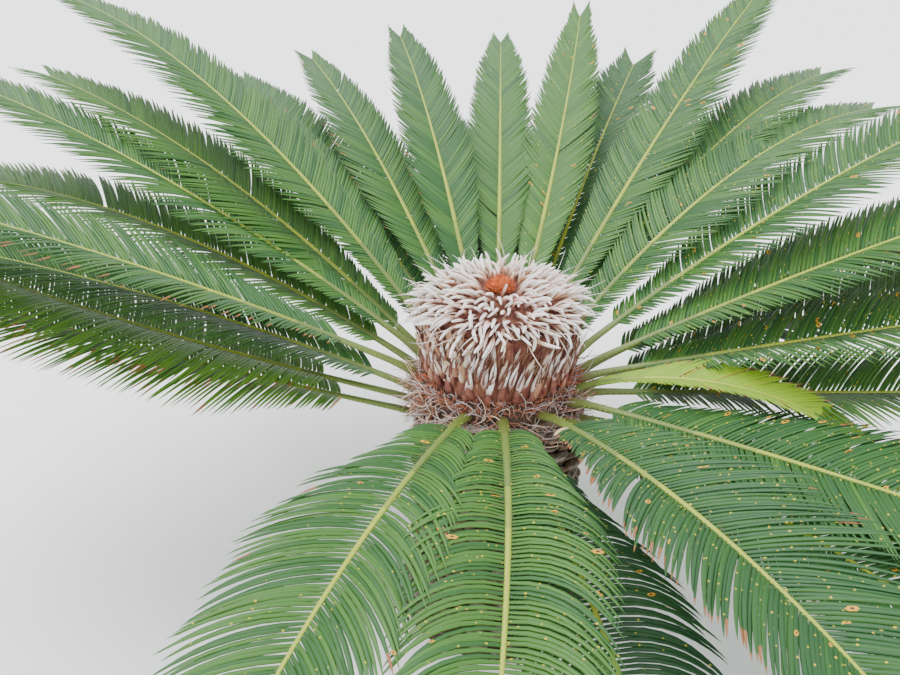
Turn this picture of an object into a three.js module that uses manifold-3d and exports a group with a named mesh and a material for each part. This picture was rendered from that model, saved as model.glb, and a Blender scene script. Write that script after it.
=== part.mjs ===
import * as THREE from "three";
import { mergeVertices } from "three/addons/utils/BufferGeometryUtils.js";
import Module from "manifold-3d";

// Sago palm in millimetres. +Z is up, the ground is the plane z = 0, and the trunk stands on the Z axis.
// Directions round the trunk are in degrees from +X towards +Y.

// Trunk, cut flat at the ground
const TRUNK_RADIUS = 150;
const TRUNK_TOP = 547.7;
const TRUNK_TOP_RADIUS = 144;
const ROOT_FLARE = 40;
const FLARE_HEIGHT = 170;
const FOOT_HEIGHT = 14;
const COLLAR_FOOT = 425;
const COLLAR_HEAD = 543;
const BOSS_COLUMNS = 24;
const BOSS_ROWS = 13;
const BOSS_RELIEF = 16;

// Head of scale leaves that stands on the trunk, inside the crown of fronds
const HEAD_FOOT = 548;
const HEAD_TOP = 674;
const HEAD_FOOT_RADIUS = 126;
const HEAD_BULGE = 7;
const HEAD_TOP_RADIUS = 126;
const SCALE_COLUMNS = 30;
const SCALE_ROWS = 5;
const SCALE_RELIEF = 9;

// Woolly dome on the head, covered with finger-like tips, and the felted heart at its middle
const SEAM = 0.3;
const DOME_RADIUS = 130;
const DOME_RISE = 42;
const DOME_STEPS = 4;
const DOME_SIDES = 18;
const FINGER_ROOT = 12;
const FINGER_WIDTHS = [12, 11, 9, 4];
const FINGER_BACK = 0.3;
const FINGER_KEEL = 0.5;
const FINGER_RINGS = [
  { radius: 42, count: 8, lean: 70, curl: 44, length: 44 },
  { radius: 68, count: 11, lean: 52, curl: 16, length: 52 },
  { radius: 94, count: 14, lean: 32, curl: -8, length: 54 },
  { radius: 117, count: 17, lean: 8, curl: -34, length: 46 },
];
const HEART_RADIUS = 23;
const HEART_HEIGHT = 24;
const HEART_SIDES = 10;
const HEART_WIDTHS = [0.8, 1, 0.65];
const HEART_RISES = [0, 0.4, 0.85];

// Fronds: heights of the tiers where they leave the collar, the rib, and the leaflets
const TIERS = [541, 515, 489, 464, 440];
const RIB_START = 140;
const RIB_WIDTH = 22;
const RIB_HEIGHT = 15;
const RIB_TIP = 3.4;
const RIB_TAPER = 0.45;
const BEND_POWER = 1.2;
const TOP_SHARE = 0.35;
const EDGE_HEIGHT = 3;
const BARE_SHARE = 0.09;
const BARE_STEPS = 3;
const LEAFLET_PAIRS = 23;

// A young frond, spread 0, holds its leaflets forwards, and an old one, spread 1, holds them out. The fold is
// how far they are turned up from the blade's plane, and the sweep how far they are turned out from the rib.
const SPREAD_FOLD = [3, 10];
const ARCHED_FOLD = -12;
const SPREAD_SWEEP = [42, 57];
const SWEEP_POWER = 0.4;
const ARCHED_SWEEP = 4;
const LOPSIDED_FOLD = 8;
const LOPSIDED_SWEEP = 11;
const LOPSIDED_SPREAD = 8;
const SPREAD_LENGTH = [128, 191];
const TIP_SWEEP = 28;
const SHORT_BASE = [0.2, 0.38];
const SHORT_TIP = [0.35, 0.22];
const GROWN_FROM = [0.38, 0.24];
const SHRINKS_FROM = 0.65;

// A leaflet that comes too near another frond is turned up or down, then shortened, and at last left out.
const LEAFLET_GAP = 0.4;
const TURNS = [0, 9, -9, 18, -18, 27, -27];
const LENGTH_TRIES = [1, 0.85, 0.7, 0.55, 0.42];

// turn: direction round the trunk. rise and tip: the rib's angle above level at the collar and at its end.
// bare: the share of the rib below its first leaflets. sway: how far the rib swings round along its length.
// arch, 0 to 1: how far its leaflets arch over. lift and sweep: by how many degrees its leaflets are turned
// up and out. leaflet: the longest leaflet, where it isn't the usual one. right: how long the leaflets on the
// right are against those on the left. lopsided: how far those on the right (below 0: on the left) stand
// higher and further out than the others.
const FRONDS = [
  { turn: 358, rise: 14.5, tip: 10.5, length: 1150, tier: 0, spread: 0.65, bare: 0.1, sweep: 8, lopsided: 0.7 },
  { turn: 8, rise: 26, tip: 13.5, length: 1200, tier: 0, spread: 0.45, bare: 0.1, sweep: 10, lopsided: 0.7 },
  { turn: 24, rise: 32.5, tip: 9, length: 1200, tier: 0, spread: 0.35, sweep: 8, lopsided: 0.7 },
  {
    turn: 40, rise: 37.5, tip: -5.5, length: 1020, tier: 0, spread: 0.25, bare: 0.05, sweep: 4,
    lopsided: 0.6,
  },
  { turn: 59, rise: 31.5, tip: 17, length: 1250, tier: 0, spread: 0.05, bare: 0.05, lopsided: 0.5 },
  { turn: 77, rise: 30.5, tip: 19.5, length: 1030, tier: 0, spread: 0, bare: 0.05, sway: 7 },
  { turn: 91, rise: 33, tip: 7.5, length: 1020, tier: 0, spread: 0, bare: 0.05 },
  { turn: 106, rise: 38.5, tip: 10.5, length: 945, tier: 0, spread: 0, bare: 0.05 },
  { turn: 117, rise: 28.5, tip: 7, length: 1050, tier: 0, spread: 0, bare: 0.05, lopsided: -0.4 },
  { turn: 142, rise: 38.5, tip: 5.5, length: 1300, tier: 0, spread: 0.25, lopsided: -1 },
  { turn: 159.5, rise: 29.5, tip: 9, length: 1250, tier: 0, spread: 0.3, lopsided: -1 },
  { turn: 183, rise: 26, tip: 11.5, length: 1200, tier: 0, spread: 0.75, bare: 0.13, lopsided: -1 },
  { turn: 250, rise: 10, tip: -41, length: 1100, tier: 0, spread: 1, bare: 0.06, arch: 0.4, sweep: -8 },
  { turn: 274, rise: 8, tip: -29.5, length: 1100, tier: 0, spread: 1, bare: 0.05, sway: -14, arch: 1 },
  { turn: 300, rise: 16.5, tip: -31, length: 1150, tier: 0, spread: 1, bare: 0.08, lift: 4, sweep: -6 },
  { turn: 316, rise: 10, tip: -28, length: 1150, tier: 1, spread: 0.9, bare: 0.08, lift: -5 },
  { turn: 326, rise: 7.5, tip: -4, length: 1200, tier: 0, spread: 0.85, bare: 0.08, lift: -8, sweep: 2 },
  {
    turn: 342, rise: 26.5, tip: -26, length: 464, tier: 0, spread: 0, lift: 5, sweep: 9, leaflet: 91,
    right: 0.6, lopsided: 0.6,
  },
  { turn: 355, rise: 4.5, tip: 7.5, length: 1150, tier: 1, spread: 0.8, sweep: 6, lopsided: 0.7 },
  { turn: 17, rise: 24, tip: 0, length: 1250, tier: 1, spread: 0.5, sweep: 8, lopsided: 0.7 },
  { turn: 50, rise: 35, tip: -1.5, length: 1150, tier: 1, spread: 0.3, lopsided: 0.6 },
  { turn: 124, rise: 23, tip: 2.5, length: 1200, tier: 1, spread: 0.3, lopsided: -0.5 },
  { turn: 133, rise: 31, tip: 6.5, length: 1150, tier: 1, spread: 0.2, lopsided: -0.7 },
  { turn: 149, rise: 32, tip: 6.5, length: 1150, tier: 1, spread: 0.3, lopsided: -1 },
  { turn: 162, rise: 26, tip: -7.5, length: 1250, tier: 1, spread: 0.6, lopsided: -1 },
  { turn: 12, rise: 17.5, tip: 2.5, length: 1200, tier: 2, spread: 0.6, sweep: 8, lopsided: 0.7 },
  { turn: 72, rise: 29.5, tip: 14.5, length: 1000, tier: 2, spread: 0.3 },
  { turn: 99, rise: 23.5, tip: 0, length: 950, tier: 2, spread: 0.3 },
  { turn: 174, rise: 19.5, tip: 4.5, length: 1100, tier: 2, spread: 0.8, lopsided: -1 },
  { turn: 287, rise: -2.5, tip: -38.5, length: 1050, tier: 2, spread: 1, arch: 1 },
  { turn: 338, rise: 5.5, tip: -21, length: 1100, tier: 2, spread: 0.9, arch: 0.3 },
  { turn: 85, rise: 22, tip: 0, length: 900, tier: 3, spread: 0.3 },
  {
    turn: 172, rise: 8, tip: 19, length: 1200, tier: 3, spread: 1, bare: 0.16, arch: 0.5, lift: -6, sweep: 8,
    lopsided: -0.9,
  },
  {
    turn: 175, rise: 8, tip: 11, length: 1000, tier: 4, spread: 1, bare: 0.16, sway: -6, arch: 0.5,
    lift: -6, sweep: 6, lopsided: -0.9,
  },
];

const FINISHES = {
  bark: { color: 0x5a4636, roughness: 0.95 },
  scale: { color: 0x8c6450, roughness: 0.9 },
  wool: { color: 0xb9a89b, roughness: 1 },
  felt: { color: 0xb5562a, roughness: 1 },
  frond: { color: 0x5c7f4c, roughness: 0.55 },
};

const wasm = await Module();
wasm.setup();

const { degToRad, lerp, smoothstep } = THREE.MathUtils;

// The point at a radius, a direction in radians and a height.
function polar(radius, angle, z) {
  return new THREE.Vector3(radius * Math.cos(angle), radius * Math.sin(angle), z);
}

function indexedGeometry(points, triangles) {
  const geometry = new THREE.BufferGeometry().setFromPoints(points);
  geometry.setIndex(triangles.flat());
  return geometry;
}

function toSolid(geometry) {
  const bare = geometry.clone();
  bare.deleteAttribute("normal");
  bare.deleteAttribute("uv");
  const merged = mergeVertices(bare);
  const mesh = new wasm.Mesh({
    numProp: 3,
    vertProperties: merged.attributes.position.array,
    triVerts: new Uint32Array(merged.index.array),
  });
  return new wasm.Manifold(mesh);
}

function toGeometry(solid) {
  const mesh = solid.getMesh();
  const geometry = new THREE.BufferGeometry();
  geometry.setAttribute("position", new THREE.BufferAttribute(mesh.vertProperties, 3));
  geometry.setIndex(new THREE.BufferAttribute(mesh.triVerts, 1));
  return geometry;
}

// Triangles of a flat cap over one ring of points. The middle of the ring is well inside the largest one.
function capTriangles(first, columns) {
  const third = columns / 3;
  const triangles = [[first, first + third, first + 2 * third]];
  for (let arc = 0; arc < 3; arc++) {
    for (let step = 1; step < third; step++) {
      const corner = arc * third;
      triangles.push([first + corner, first + corner + step, first + ((corner + step + 1) % columns)]);
    }
  }
  return triangles;
}

// A closed barrel of rings round the Z axis. Points take turns to stand out and to lie back by half a ring's
// relief, so that the wall is covered with four-sided bosses, each set between the two below it.
function studdedBarrel(rings, columns) {
  const points = [];
  const triangles = [];
  rings.forEach((ring, row) => {
    for (let column = 0; column < columns; column++) {
      const stand = ((row + column) % 2 ? 0.5 : -0.5) * ring.relief;
      points.push(polar(ring.radius + stand, (column / columns) * 2 * Math.PI, ring.z));
    }
  });
  for (let row = 0; row < rings.length - 1; row++) {
    for (let column = 0; column < columns; column++) {
      const next = (column + 1) % columns;
      const a = row * columns + column;
      const b = row * columns + next;
      const c = (row + 1) * columns + next;
      const d = (row + 1) * columns + column;
      if ((row + column) % 2) triangles.push([a, b, d], [b, c, d]);
      else triangles.push([a, b, c], [a, c, d]);
    }
  }
  const bottom = capTriangles(0, columns).map((corners) => corners.reverse());
  triangles.push(...bottom, ...capTriangles((rings.length - 1) * columns, columns));
  return indexedGeometry(points, triangles);
}

function trunkRadius(z) {
  const flare = Math.max(0, 1 - z / FLARE_HEIGHT);
  return TRUNK_RADIUS - BOSS_RELIEF / 2 + ROOT_FLARE * flare * flare;
}

function makeTrunk() {
  const rings = [{ z: 0, radius: trunkRadius(0), relief: 0 }];
  for (let row = 0; row < BOSS_ROWS; row++) {
    const z = lerp(FOOT_HEIGHT, COLLAR_FOOT, row / BOSS_ROWS);
    rings.push({ z, radius: trunkRadius(z), relief: BOSS_RELIEF });
  }
  rings.push({ z: COLLAR_FOOT, radius: TRUNK_RADIUS, relief: 0 });
  rings.push({ z: COLLAR_HEAD, radius: TRUNK_RADIUS, relief: 0 });
  rings.push({ z: TRUNK_TOP, radius: TRUNK_TOP_RADIUS, relief: 0 });
  return studdedBarrel(rings, BOSS_COLUMNS);
}

function makeHead() {
  const rings = [];
  const last = SCALE_ROWS + 1;
  for (let row = 0; row <= last; row++) {
    const rise = row / last;
    const bulge = HEAD_BULGE * Math.sin(rise * Math.PI);
    const radius = lerp(HEAD_FOOT_RADIUS, HEAD_TOP_RADIUS, rise) + bulge;
    const relief = row % last ? SCALE_RELIEF : 0;
    rings.push({ z: lerp(HEAD_FOOT, HEAD_TOP, rise), radius, relief });
  }
  return studdedBarrel(rings, SCALE_COLUMNS);
}

// A closed loft through sections of equally many points. peakOf(step, edge) may give a point that the quad
// between two sections is drawn out to, as a four-sided pyramid.
function loft(sections, peakOf = () => null) {
  const count = sections[0].length;
  const points = sections.flat();
  const triangles = [];
  for (let step = 0; step < sections.length - 1; step++) {
    for (let edge = 0; edge < count; edge++) {
      const next = (edge + 1) % count;
      const a = step * count + edge;
      const b = step * count + next;
      const c = (step + 1) * count + next;
      const d = (step + 1) * count + edge;
      const peak = peakOf(step, edge);
      if (peak) {
        const e = points.push(peak) - 1;
        triangles.push([a, b, e], [b, c, e], [c, d, e], [d, a, e]);
      } else triangles.push([a, b, c], [a, c, d]);
    }
  }
  const end = (sections.length - 1) * count;
  for (let corner = 1; corner < count - 1; corner++) {
    triangles.push([0, corner + 1, corner], [end, end + corner, end + corner + 1]);
  }
  return indexedGeometry(points, triangles);
}

function domeHeight(radius) {
  return HEAD_TOP + SEAM + DOME_RISE * Math.sqrt(Math.max(0, 1 - (radius / DOME_RADIUS) ** 2));
}

// The dome's profile runs from the axis along its flat underside and back over its top to the heart's seat.
function makeDome() {
  const profile = [new THREE.Vector2(0, HEAD_TOP + SEAM)];
  const seat = Math.acos((HEART_RADIUS + FINGER_ROOT) / DOME_RADIUS);
  for (let step = 0; step <= DOME_STEPS; step++) {
    const radius = DOME_RADIUS * Math.cos((seat * step) / DOME_STEPS);
    profile.push(new THREE.Vector2(radius, domeHeight(radius)));
  }
  profile.push(new THREE.Vector2(0, domeHeight(HEART_RADIUS + FINGER_ROOT)));
  return new THREE.LatheGeometry(profile, DOME_SIDES).rotateX(Math.PI / 2);
}

// One woolly tip: a three-sided horn that starts inside the dome and curls outwards and down.
function makeFinger(ring, angle) {
  const side = polar(1, angle - Math.PI / 2, 0);
  const steps = FINGER_WIDTHS.length - 1;
  const place = polar(ring.radius, angle, domeHeight(ring.radius) - FINGER_ROOT);
  const sections = FINGER_WIDTHS.map((width, step) => {
    const lean = degToRad(lerp(ring.lean, ring.curl, step / steps));
    const along = polar(Math.cos(lean), angle, Math.sin(lean));
    const up = new THREE.Vector3().crossVectors(side, along);
    if (step > 0) place.addScaledVector(along, ring.length / steps);
    return [-1, 1, 0].map((across) =>
      place
        .clone()
        .addScaledVector(side, (across * width) / 2)
        .addScaledVector(up, across ? width * FINGER_BACK : -width * FINGER_KEEL),
    );
  });
  return loft(sections);
}

function makeWool() {
  let wool = toSolid(makeDome());
  FINGER_RINGS.forEach((ring, row) => {
    for (let number = 0; number < ring.count; number++) {
      const angle = ((number + (row % 2) / 2) / ring.count) * 2 * Math.PI;
      wool = wool.add(toSolid(makeFinger(ring, angle)));
    }
  });
  return toGeometry(wool);
}

function makeHeart() {
  const seat = domeHeight(HEART_RADIUS + FINGER_ROOT) + SEAM;
  const wall = HEART_WIDTHS.map(
    (width, row) => new THREE.Vector2(HEART_RADIUS * width, seat + HEART_HEIGHT * HEART_RISES[row]),
  );
  const profile = [new THREE.Vector2(0, seat), ...wall, new THREE.Vector2(0, seat + HEART_HEIGHT)];
  return new THREE.LatheGeometry(profile, HEART_SIDES).rotateX(Math.PI / 2);
}

function bareShare(frond) {
  return frond.bare ?? BARE_SHARE;
}

// Stations along a frond's rib, bare below and then one at each end of every leaflet's foot. Each has its
// place, its direction, the direction across the blade to the right, and the blade's own up.
function ribStations(frond) {
  const bare = bareShare(frond);
  const shares = [];
  for (let step = 0; step < BARE_STEPS; step++) shares.push((bare * step) / BARE_STEPS);
  for (let pair = 0; pair <= LEAFLET_PAIRS; pair++) shares.push(lerp(bare, 1, pair / LEAFLET_PAIRS));
  const place = polar(RIB_START, degToRad(frond.turn), TIERS[frond.tier]);
  const direction = (share) => {
    const rise = degToRad(lerp(frond.rise, frond.tip, share ** BEND_POWER));
    return polar(Math.cos(rise), degToRad(frond.turn + (frond.sway ?? 0) * share), Math.sin(rise));
  };
  return shares.map((share, number) => {
    if (number > 0) {
      const before = shares[number - 1];
      place.addScaledVector(direction((share + before) / 2), (share - before) * frond.length);
    }
    const along = direction(share);
    const across = new THREE.Vector3(along.y, -along.x, 0).normalize();
    const up = new THREE.Vector3().crossVectors(across, along);
    const thick = share ** RIB_TAPER;
    const width = lerp(RIB_WIDTH, RIB_TIP, thick);
    const height = lerp(RIB_HEIGHT, RIB_TIP, thick);
    return { share, place: place.clone(), along, across, up, width, height };
  });
}

// The rib's section: a flat top between two thin edges that the leaflets stand on, and a keel below.
function ribSection({ place, across, up, width, height }) {
  const top = height * TOP_SHARE;
  const corners = [
    [-0.5, top],
    [0.5, top],
    [0.5, top - EDGE_HEIGHT],
    [0, top - height],
    [-0.5, top - EDGE_HEIGHT],
  ];
  return corners.map(([over, rise]) =>
    place
      .clone()
      .addScaledVector(across, over * width)
      .addScaledVector(up, rise),
  );
}

// The tip of the leaflet between two stations, on the side +1 to the right or -1 to the left.
function leafletTip(frond, from, to, side, foldTurn, lengthShare) {
  const foot = new THREE.Vector3().addVectors(from.place, to.place).multiplyScalar(0.5);
  const bare = bareShare(frond);
  const along = ((from.share + to.share) / 2 - bare) / (1 - bare);
  const base = lerp(...SHORT_BASE, frond.spread);
  const grown = (1 - base) * smoothstep(along, 0, lerp(...GROWN_FROM, frond.spread));
  const shrunk = lerp(...SHORT_TIP, frond.spread) * smoothstep(along, SHRINKS_FROM, 1);
  const longest = frond.leaflet ?? lerp(...SPREAD_LENGTH, frond.spread);
  const { arch = 0, lift = 0, sweep: out = 0, lopsided = 0, right = 1 } = frond;
  const favoured = lopsided * side;
  const ownFold = lerp(...SPREAD_FOLD, frond.spread) + ARCHED_FOLD * arch + lift;
  const ownSweep = lerp(...SPREAD_SWEEP, frond.spread ** SWEEP_POWER) + ARCHED_SWEEP * arch + out;
  const sideSweep = LOPSIDED_SWEEP * favoured + LOPSIDED_SPREAD * Math.abs(lopsided);
  const fold = degToRad(ownFold + LOPSIDED_FOLD * favoured + foldTurn);
  const sweep = degToRad(ownSweep + sideSweep - TIP_SWEEP * along * along);
  const reach = longest * (base + grown - shrunk) * lengthShare * (side > 0 ? right : 1);
  return foot
    .addScaledVector(from.across, side * (from.width / 2 + Math.sin(sweep) * Math.cos(fold) * reach))
    .addScaledVector(from.up, Math.sin(sweep) * Math.sin(fold) * reach)
    .addScaledVector(from.along, Math.cos(sweep) * reach);
}

// A flat three-cornered obstacle, half as thick as it is given, that belongs to one frond.
function makeBlade(owner, corners, halfThickness) {
  const face = new THREE.Triangle(...corners);
  const edges = corners.map((corner, number) => new THREE.Line3(corner, corners[(number + 1) % 3]));
  const box = new THREE.Box3().setFromPoints(corners).expandByScalar(halfThickness + LEAFLET_GAP / 2);
  return { owner, corners, face, edges, box, halfThickness };
}

function edgeCrosses(edge, face) {
  const ray = new THREE.Ray(edge.start, edge.delta(new THREE.Vector3()).normalize());
  const hit = ray.intersectTriangle(face.a, face.b, face.c, false, new THREE.Vector3());
  return hit !== null && hit.distanceTo(edge.start) < edge.distance();
}

function bladesClear(one, other) {
  if (one.owner === other.owner || !one.box.intersectsBox(other.box)) return true;
  const gap = one.halfThickness + other.halfThickness + LEAFLET_GAP;
  const near = new THREE.Vector3();
  const cornersNear = (corners, face) =>
    corners.some((corner) => face.closestPointToPoint(corner, near).distanceTo(corner) < gap);
  if (cornersNear(one.corners, other.face) || cornersNear(other.corners, one.face)) return false;
  if (one.edges.some((edge) => other.edges.some((line) => edge.distanceSqToLine3(line) < gap * gap))) {
    return false;
  }
  const crossing = (edges, face) => edges.some((edge) => edgeCrosses(edge, face));
  return !crossing(one.edges, other.face) && !crossing(other.edges, one.face);
}

function ribBlades(owner, stations) {
  return stations.slice(1).map((to, number) => {
    const from = stations[number];
    const half = from.across.clone().multiplyScalar(from.width / 2);
    const left = from.place.clone().sub(half);
    const right = from.place.clone().add(half);
    return makeBlade(owner, [left, right, to.place], from.height * (1 - TOP_SHARE));
  });
}

// The leaflet's tip that stays clear of every blade laid so far, or null where none does.
function clearTip(frond, from, to, side, blades) {
  for (const lengthShare of LENGTH_TRIES) {
    for (const foldTurn of TURNS) {
      const tip = leafletTip(frond, from, to, side, foldTurn, lengthShare);
      const blade = makeBlade(frond, [from.place, to.place, tip], EDGE_HEIGHT / 2);
      if (blades.every((other) => bladesClear(blade, other))) {
        blades.push(blade);
        return tip;
      }
    }
  }
  return null;
}

// Every frond as a solid: all ribs are laid first, then the leaflets, frond by frond.
function makeFronds() {
  const ribs = FRONDS.map(ribStations);
  const blades = ribs.flatMap((stations, number) => ribBlades(FRONDS[number], stations));
  const reach = TRUNK_RADIUS + SEAM;
  const around = new THREE.CylinderGeometry(reach, reach, HEAD_FOOT, BOSS_COLUMNS);
  const collar = toSolid(around.rotateX(Math.PI / 2).translate(0, 0, HEAD_FOOT / 2));
  const rightEdge = 1;
  const leftEdge = 4;
  return ribs.map((stations, number) => {
    const peakOf = (step, edge) => {
      if (step < BARE_STEPS || (edge !== rightEdge && edge !== leftEdge)) return null;
      const side = edge === rightEdge ? 1 : -1;
      return clearTip(FRONDS[number], stations[step], stations[step + 1], side, blades);
    };
    return toGeometry(toSolid(loft(stations.map(ribSection), peakOf)).subtract(collar));
  });
}

const palm = new THREE.Group();

function addPart(name, geometry, finish) {
  const material = new THREE.MeshStandardMaterial({ ...FINISHES[finish], metalness: 0 });
  const mesh = new THREE.Mesh(geometry, material);
  mesh.name = name;
  palm.add(mesh);
}

addPart("trunk", makeTrunk(), "bark");
addPart("head", makeHead(), "scale");
addPart("crown_wool", makeWool(), "wool");
addPart("heart", makeHeart(), "felt");
makeFronds().forEach((geometry, number) => {
  addPart(`frond_${String(number + 1).padStart(2, "0")}`, geometry, "frond");
});

export default palm;
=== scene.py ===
import math

import bpy
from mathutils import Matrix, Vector


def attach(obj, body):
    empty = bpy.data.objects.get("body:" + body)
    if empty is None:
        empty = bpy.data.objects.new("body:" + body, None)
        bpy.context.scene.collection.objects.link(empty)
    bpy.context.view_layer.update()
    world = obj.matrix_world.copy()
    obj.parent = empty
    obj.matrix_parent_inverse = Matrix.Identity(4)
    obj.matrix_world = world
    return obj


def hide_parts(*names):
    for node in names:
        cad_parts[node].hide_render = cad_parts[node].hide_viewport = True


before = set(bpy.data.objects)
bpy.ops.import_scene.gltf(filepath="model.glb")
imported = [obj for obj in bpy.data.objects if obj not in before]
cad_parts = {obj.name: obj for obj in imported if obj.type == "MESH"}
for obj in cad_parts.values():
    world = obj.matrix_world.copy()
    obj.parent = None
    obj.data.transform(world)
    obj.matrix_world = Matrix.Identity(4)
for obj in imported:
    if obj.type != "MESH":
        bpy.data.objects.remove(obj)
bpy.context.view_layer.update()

bl_info = {
    "name": "Sago Palm",
    "version": (1, 0, 0),
    "blender": (4, 5, 0),
    "location": "View3D > Sidebar > Sago Palm",
    "description": "Dresses a sago palm with leaflets, stalks, scales, wool and bark",
    "category": "Add Mesh",
}

# Camera: where the photo was taken from, and its field of view
LENS = 36.4
SENSOR = 36.0
CAMERA_PLACE = (0.0, -1.414, 1.400)
CAMERA_PAN = -3.52
CAMERA_PITCH = 29.13

# Stage: half the floor's width, the point that both lamps aim at, where they stand, and the sky's colour
FLOOR_HALF = 30.0
LIT_POINT = (0.0, 0.0, 0.6)
KEY_PLACE = (-1.2, 0.9, 4.2)
FRONT_PLACE = (1.4, -3.2, 2.8)
FRONT_SIZE = 2.4
SKY_TINT = (0.93, 0.96, 1.0, 1.0)

# Trunk and head, in metres. The leaf bases end a little below the collar. The wool's and the heart's depth say how far
# the body under the fingers and fibres lies inside them.
COLLAR_HEIGHT = 0.548
BASES_END = 0.030
HEAD_HEIGHT = 0.674
DRUM_RADIUS = 0.120
DRUM_BULGE = 0.007
DOME_RADIUS = 0.130
DOME_RISE = 0.042
WOOL_DEPTH = 0.008
HEART_RADIUS = 0.023
HEART_DEPTH = 0.003
HEART_FOOT = HEAD_HEIGHT + DOME_RISE - 0.002
HEART_RISE = 0.018
GOLDEN_TURN = math.radians(137.508)
UP = (0.0, 0.0, 1.0)
BLACK = (0.0, 0.0, 0.0)
WHITE = (1.0, 1.0, 1.0)

# Ribs: heights of the tiers where they leave the collar, how far from the axis they start, half their widths at foot
# and tip, how they narrow and bend between the two, and the rounded foot. RIB_SINK lets the rib lie a little below its
# leaflets' feet. Each border is the share of the length from which a stalk has its next colour.
TIERS = (0.541, 0.515, 0.489, 0.464, 0.440)
RIB_START = 0.140
RIB_STATIONS = 60
RIB_HALF_WIDTHS = (0.0108, 0.0012)
RIB_TAPER = 0.36
FOOT_LENGTH = 0.012
FOOT_SHARES = (0.0, 0.0015, 0.004, 0.0075, 0.011)
FOOT_SHARE = 0.05
BEND_POWER = 1.2
FOOT_ROUNDING = 1.05
RIB_SINK = (-0.12, 0.0, 0.0)
STALK_BORDERS = (0.0, 0.012, 0.022, 0.035, 0.06, 0.10, 0.15, 0.20, 0.28)

# A young frond, spread 0, holds its leaflets forwards, and an old one, spread 1, holds them out. Each pair holds the
# young frond's value and the old one's. fold is how far leaflets are turned up from the blade's plane, sweep how far
# they are turned out from the rib, and droop and curl by how much both change from the leaflet's foot to its tip.
# ARCHED and LOPSIDED hold what an arched and a lopsided frond add to them. Leaflets are short near the stalk and near
# the rib's end: by which share, up to where on the rib, and from where.
FOLD = (3, 10)
SWEEP = (42, 57)
SWEEP_POWER = 0.4
DROOP = 9
CURL = 8
ARCHED = dict(fold=-12, sweep=4, droop=18, curl=14)
LOPSIDED = dict(fold=8, sweep=11, spread=8, droop=4, curl=-4)
LONGEST = (0.130, 0.195)
TIP_SWEEP = 28
SHORT_BASE = (0.20, 0.38)
SHORT_TIP = (0.35, 0.22)
GROWN_FROM = (0.38, 0.24)
SHRINKS_FROM = 0.65
TIP_CROWDING = 1.3

# How far tufts of leaflets turn together, and one leaflet by chance, in degrees at its foot and at its tip
TUFTED = dict(fold=(16.0, 34.0), sweep=(14.0, 26.0))
CHANCE = dict(fold=(1.5, 4.0), sweep=(1.0, 2.2))
TUFTS_PER_RIB = 14.0

# A leaflet's face: where along it its fold sets how it lies, by what chance, in radians, and how far it rolls about
# its length, in degrees
LIE_FROM = 0.4
LIE_CHANCE = 0.16
ROLL = (-6.0, 10.0)

# Where leaflets stand on the rib, as shares of the spacing and of half the rib's width, and their sizes. Widths go
# down for short leaflets and towards the rib's end: from what, to what, and the width there.
STAGGER = 0.25
STAGGER_CHANCE = 0.12
FOOT_ON_RIB = 0.55
LENGTH_CHANCE = (0.93, 1.04)
SHORT_WIDTHS = (0.03, 0.15, 0.55, 1.0)
END_WIDTHS = (0.75, 1.0, 1.0, 0.8)

# Looks of leaflets: how far the tone changes by tufts and by chance, how many are dead for each worn one, where the
# paler margin begins across a leaflet, partly its own paler edge and partly painted highlight, and where a dry tip
# begins along it, which for a green one is past its end
TUFT_TONES = 0.22
TONE_CHANCE = 0.06
DEAD_SHARE = 0.006
MARGIN_FROM = 0.6
DRY_FROM = (0.83, 0.975)
NOT_DRY = 2.0
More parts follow.
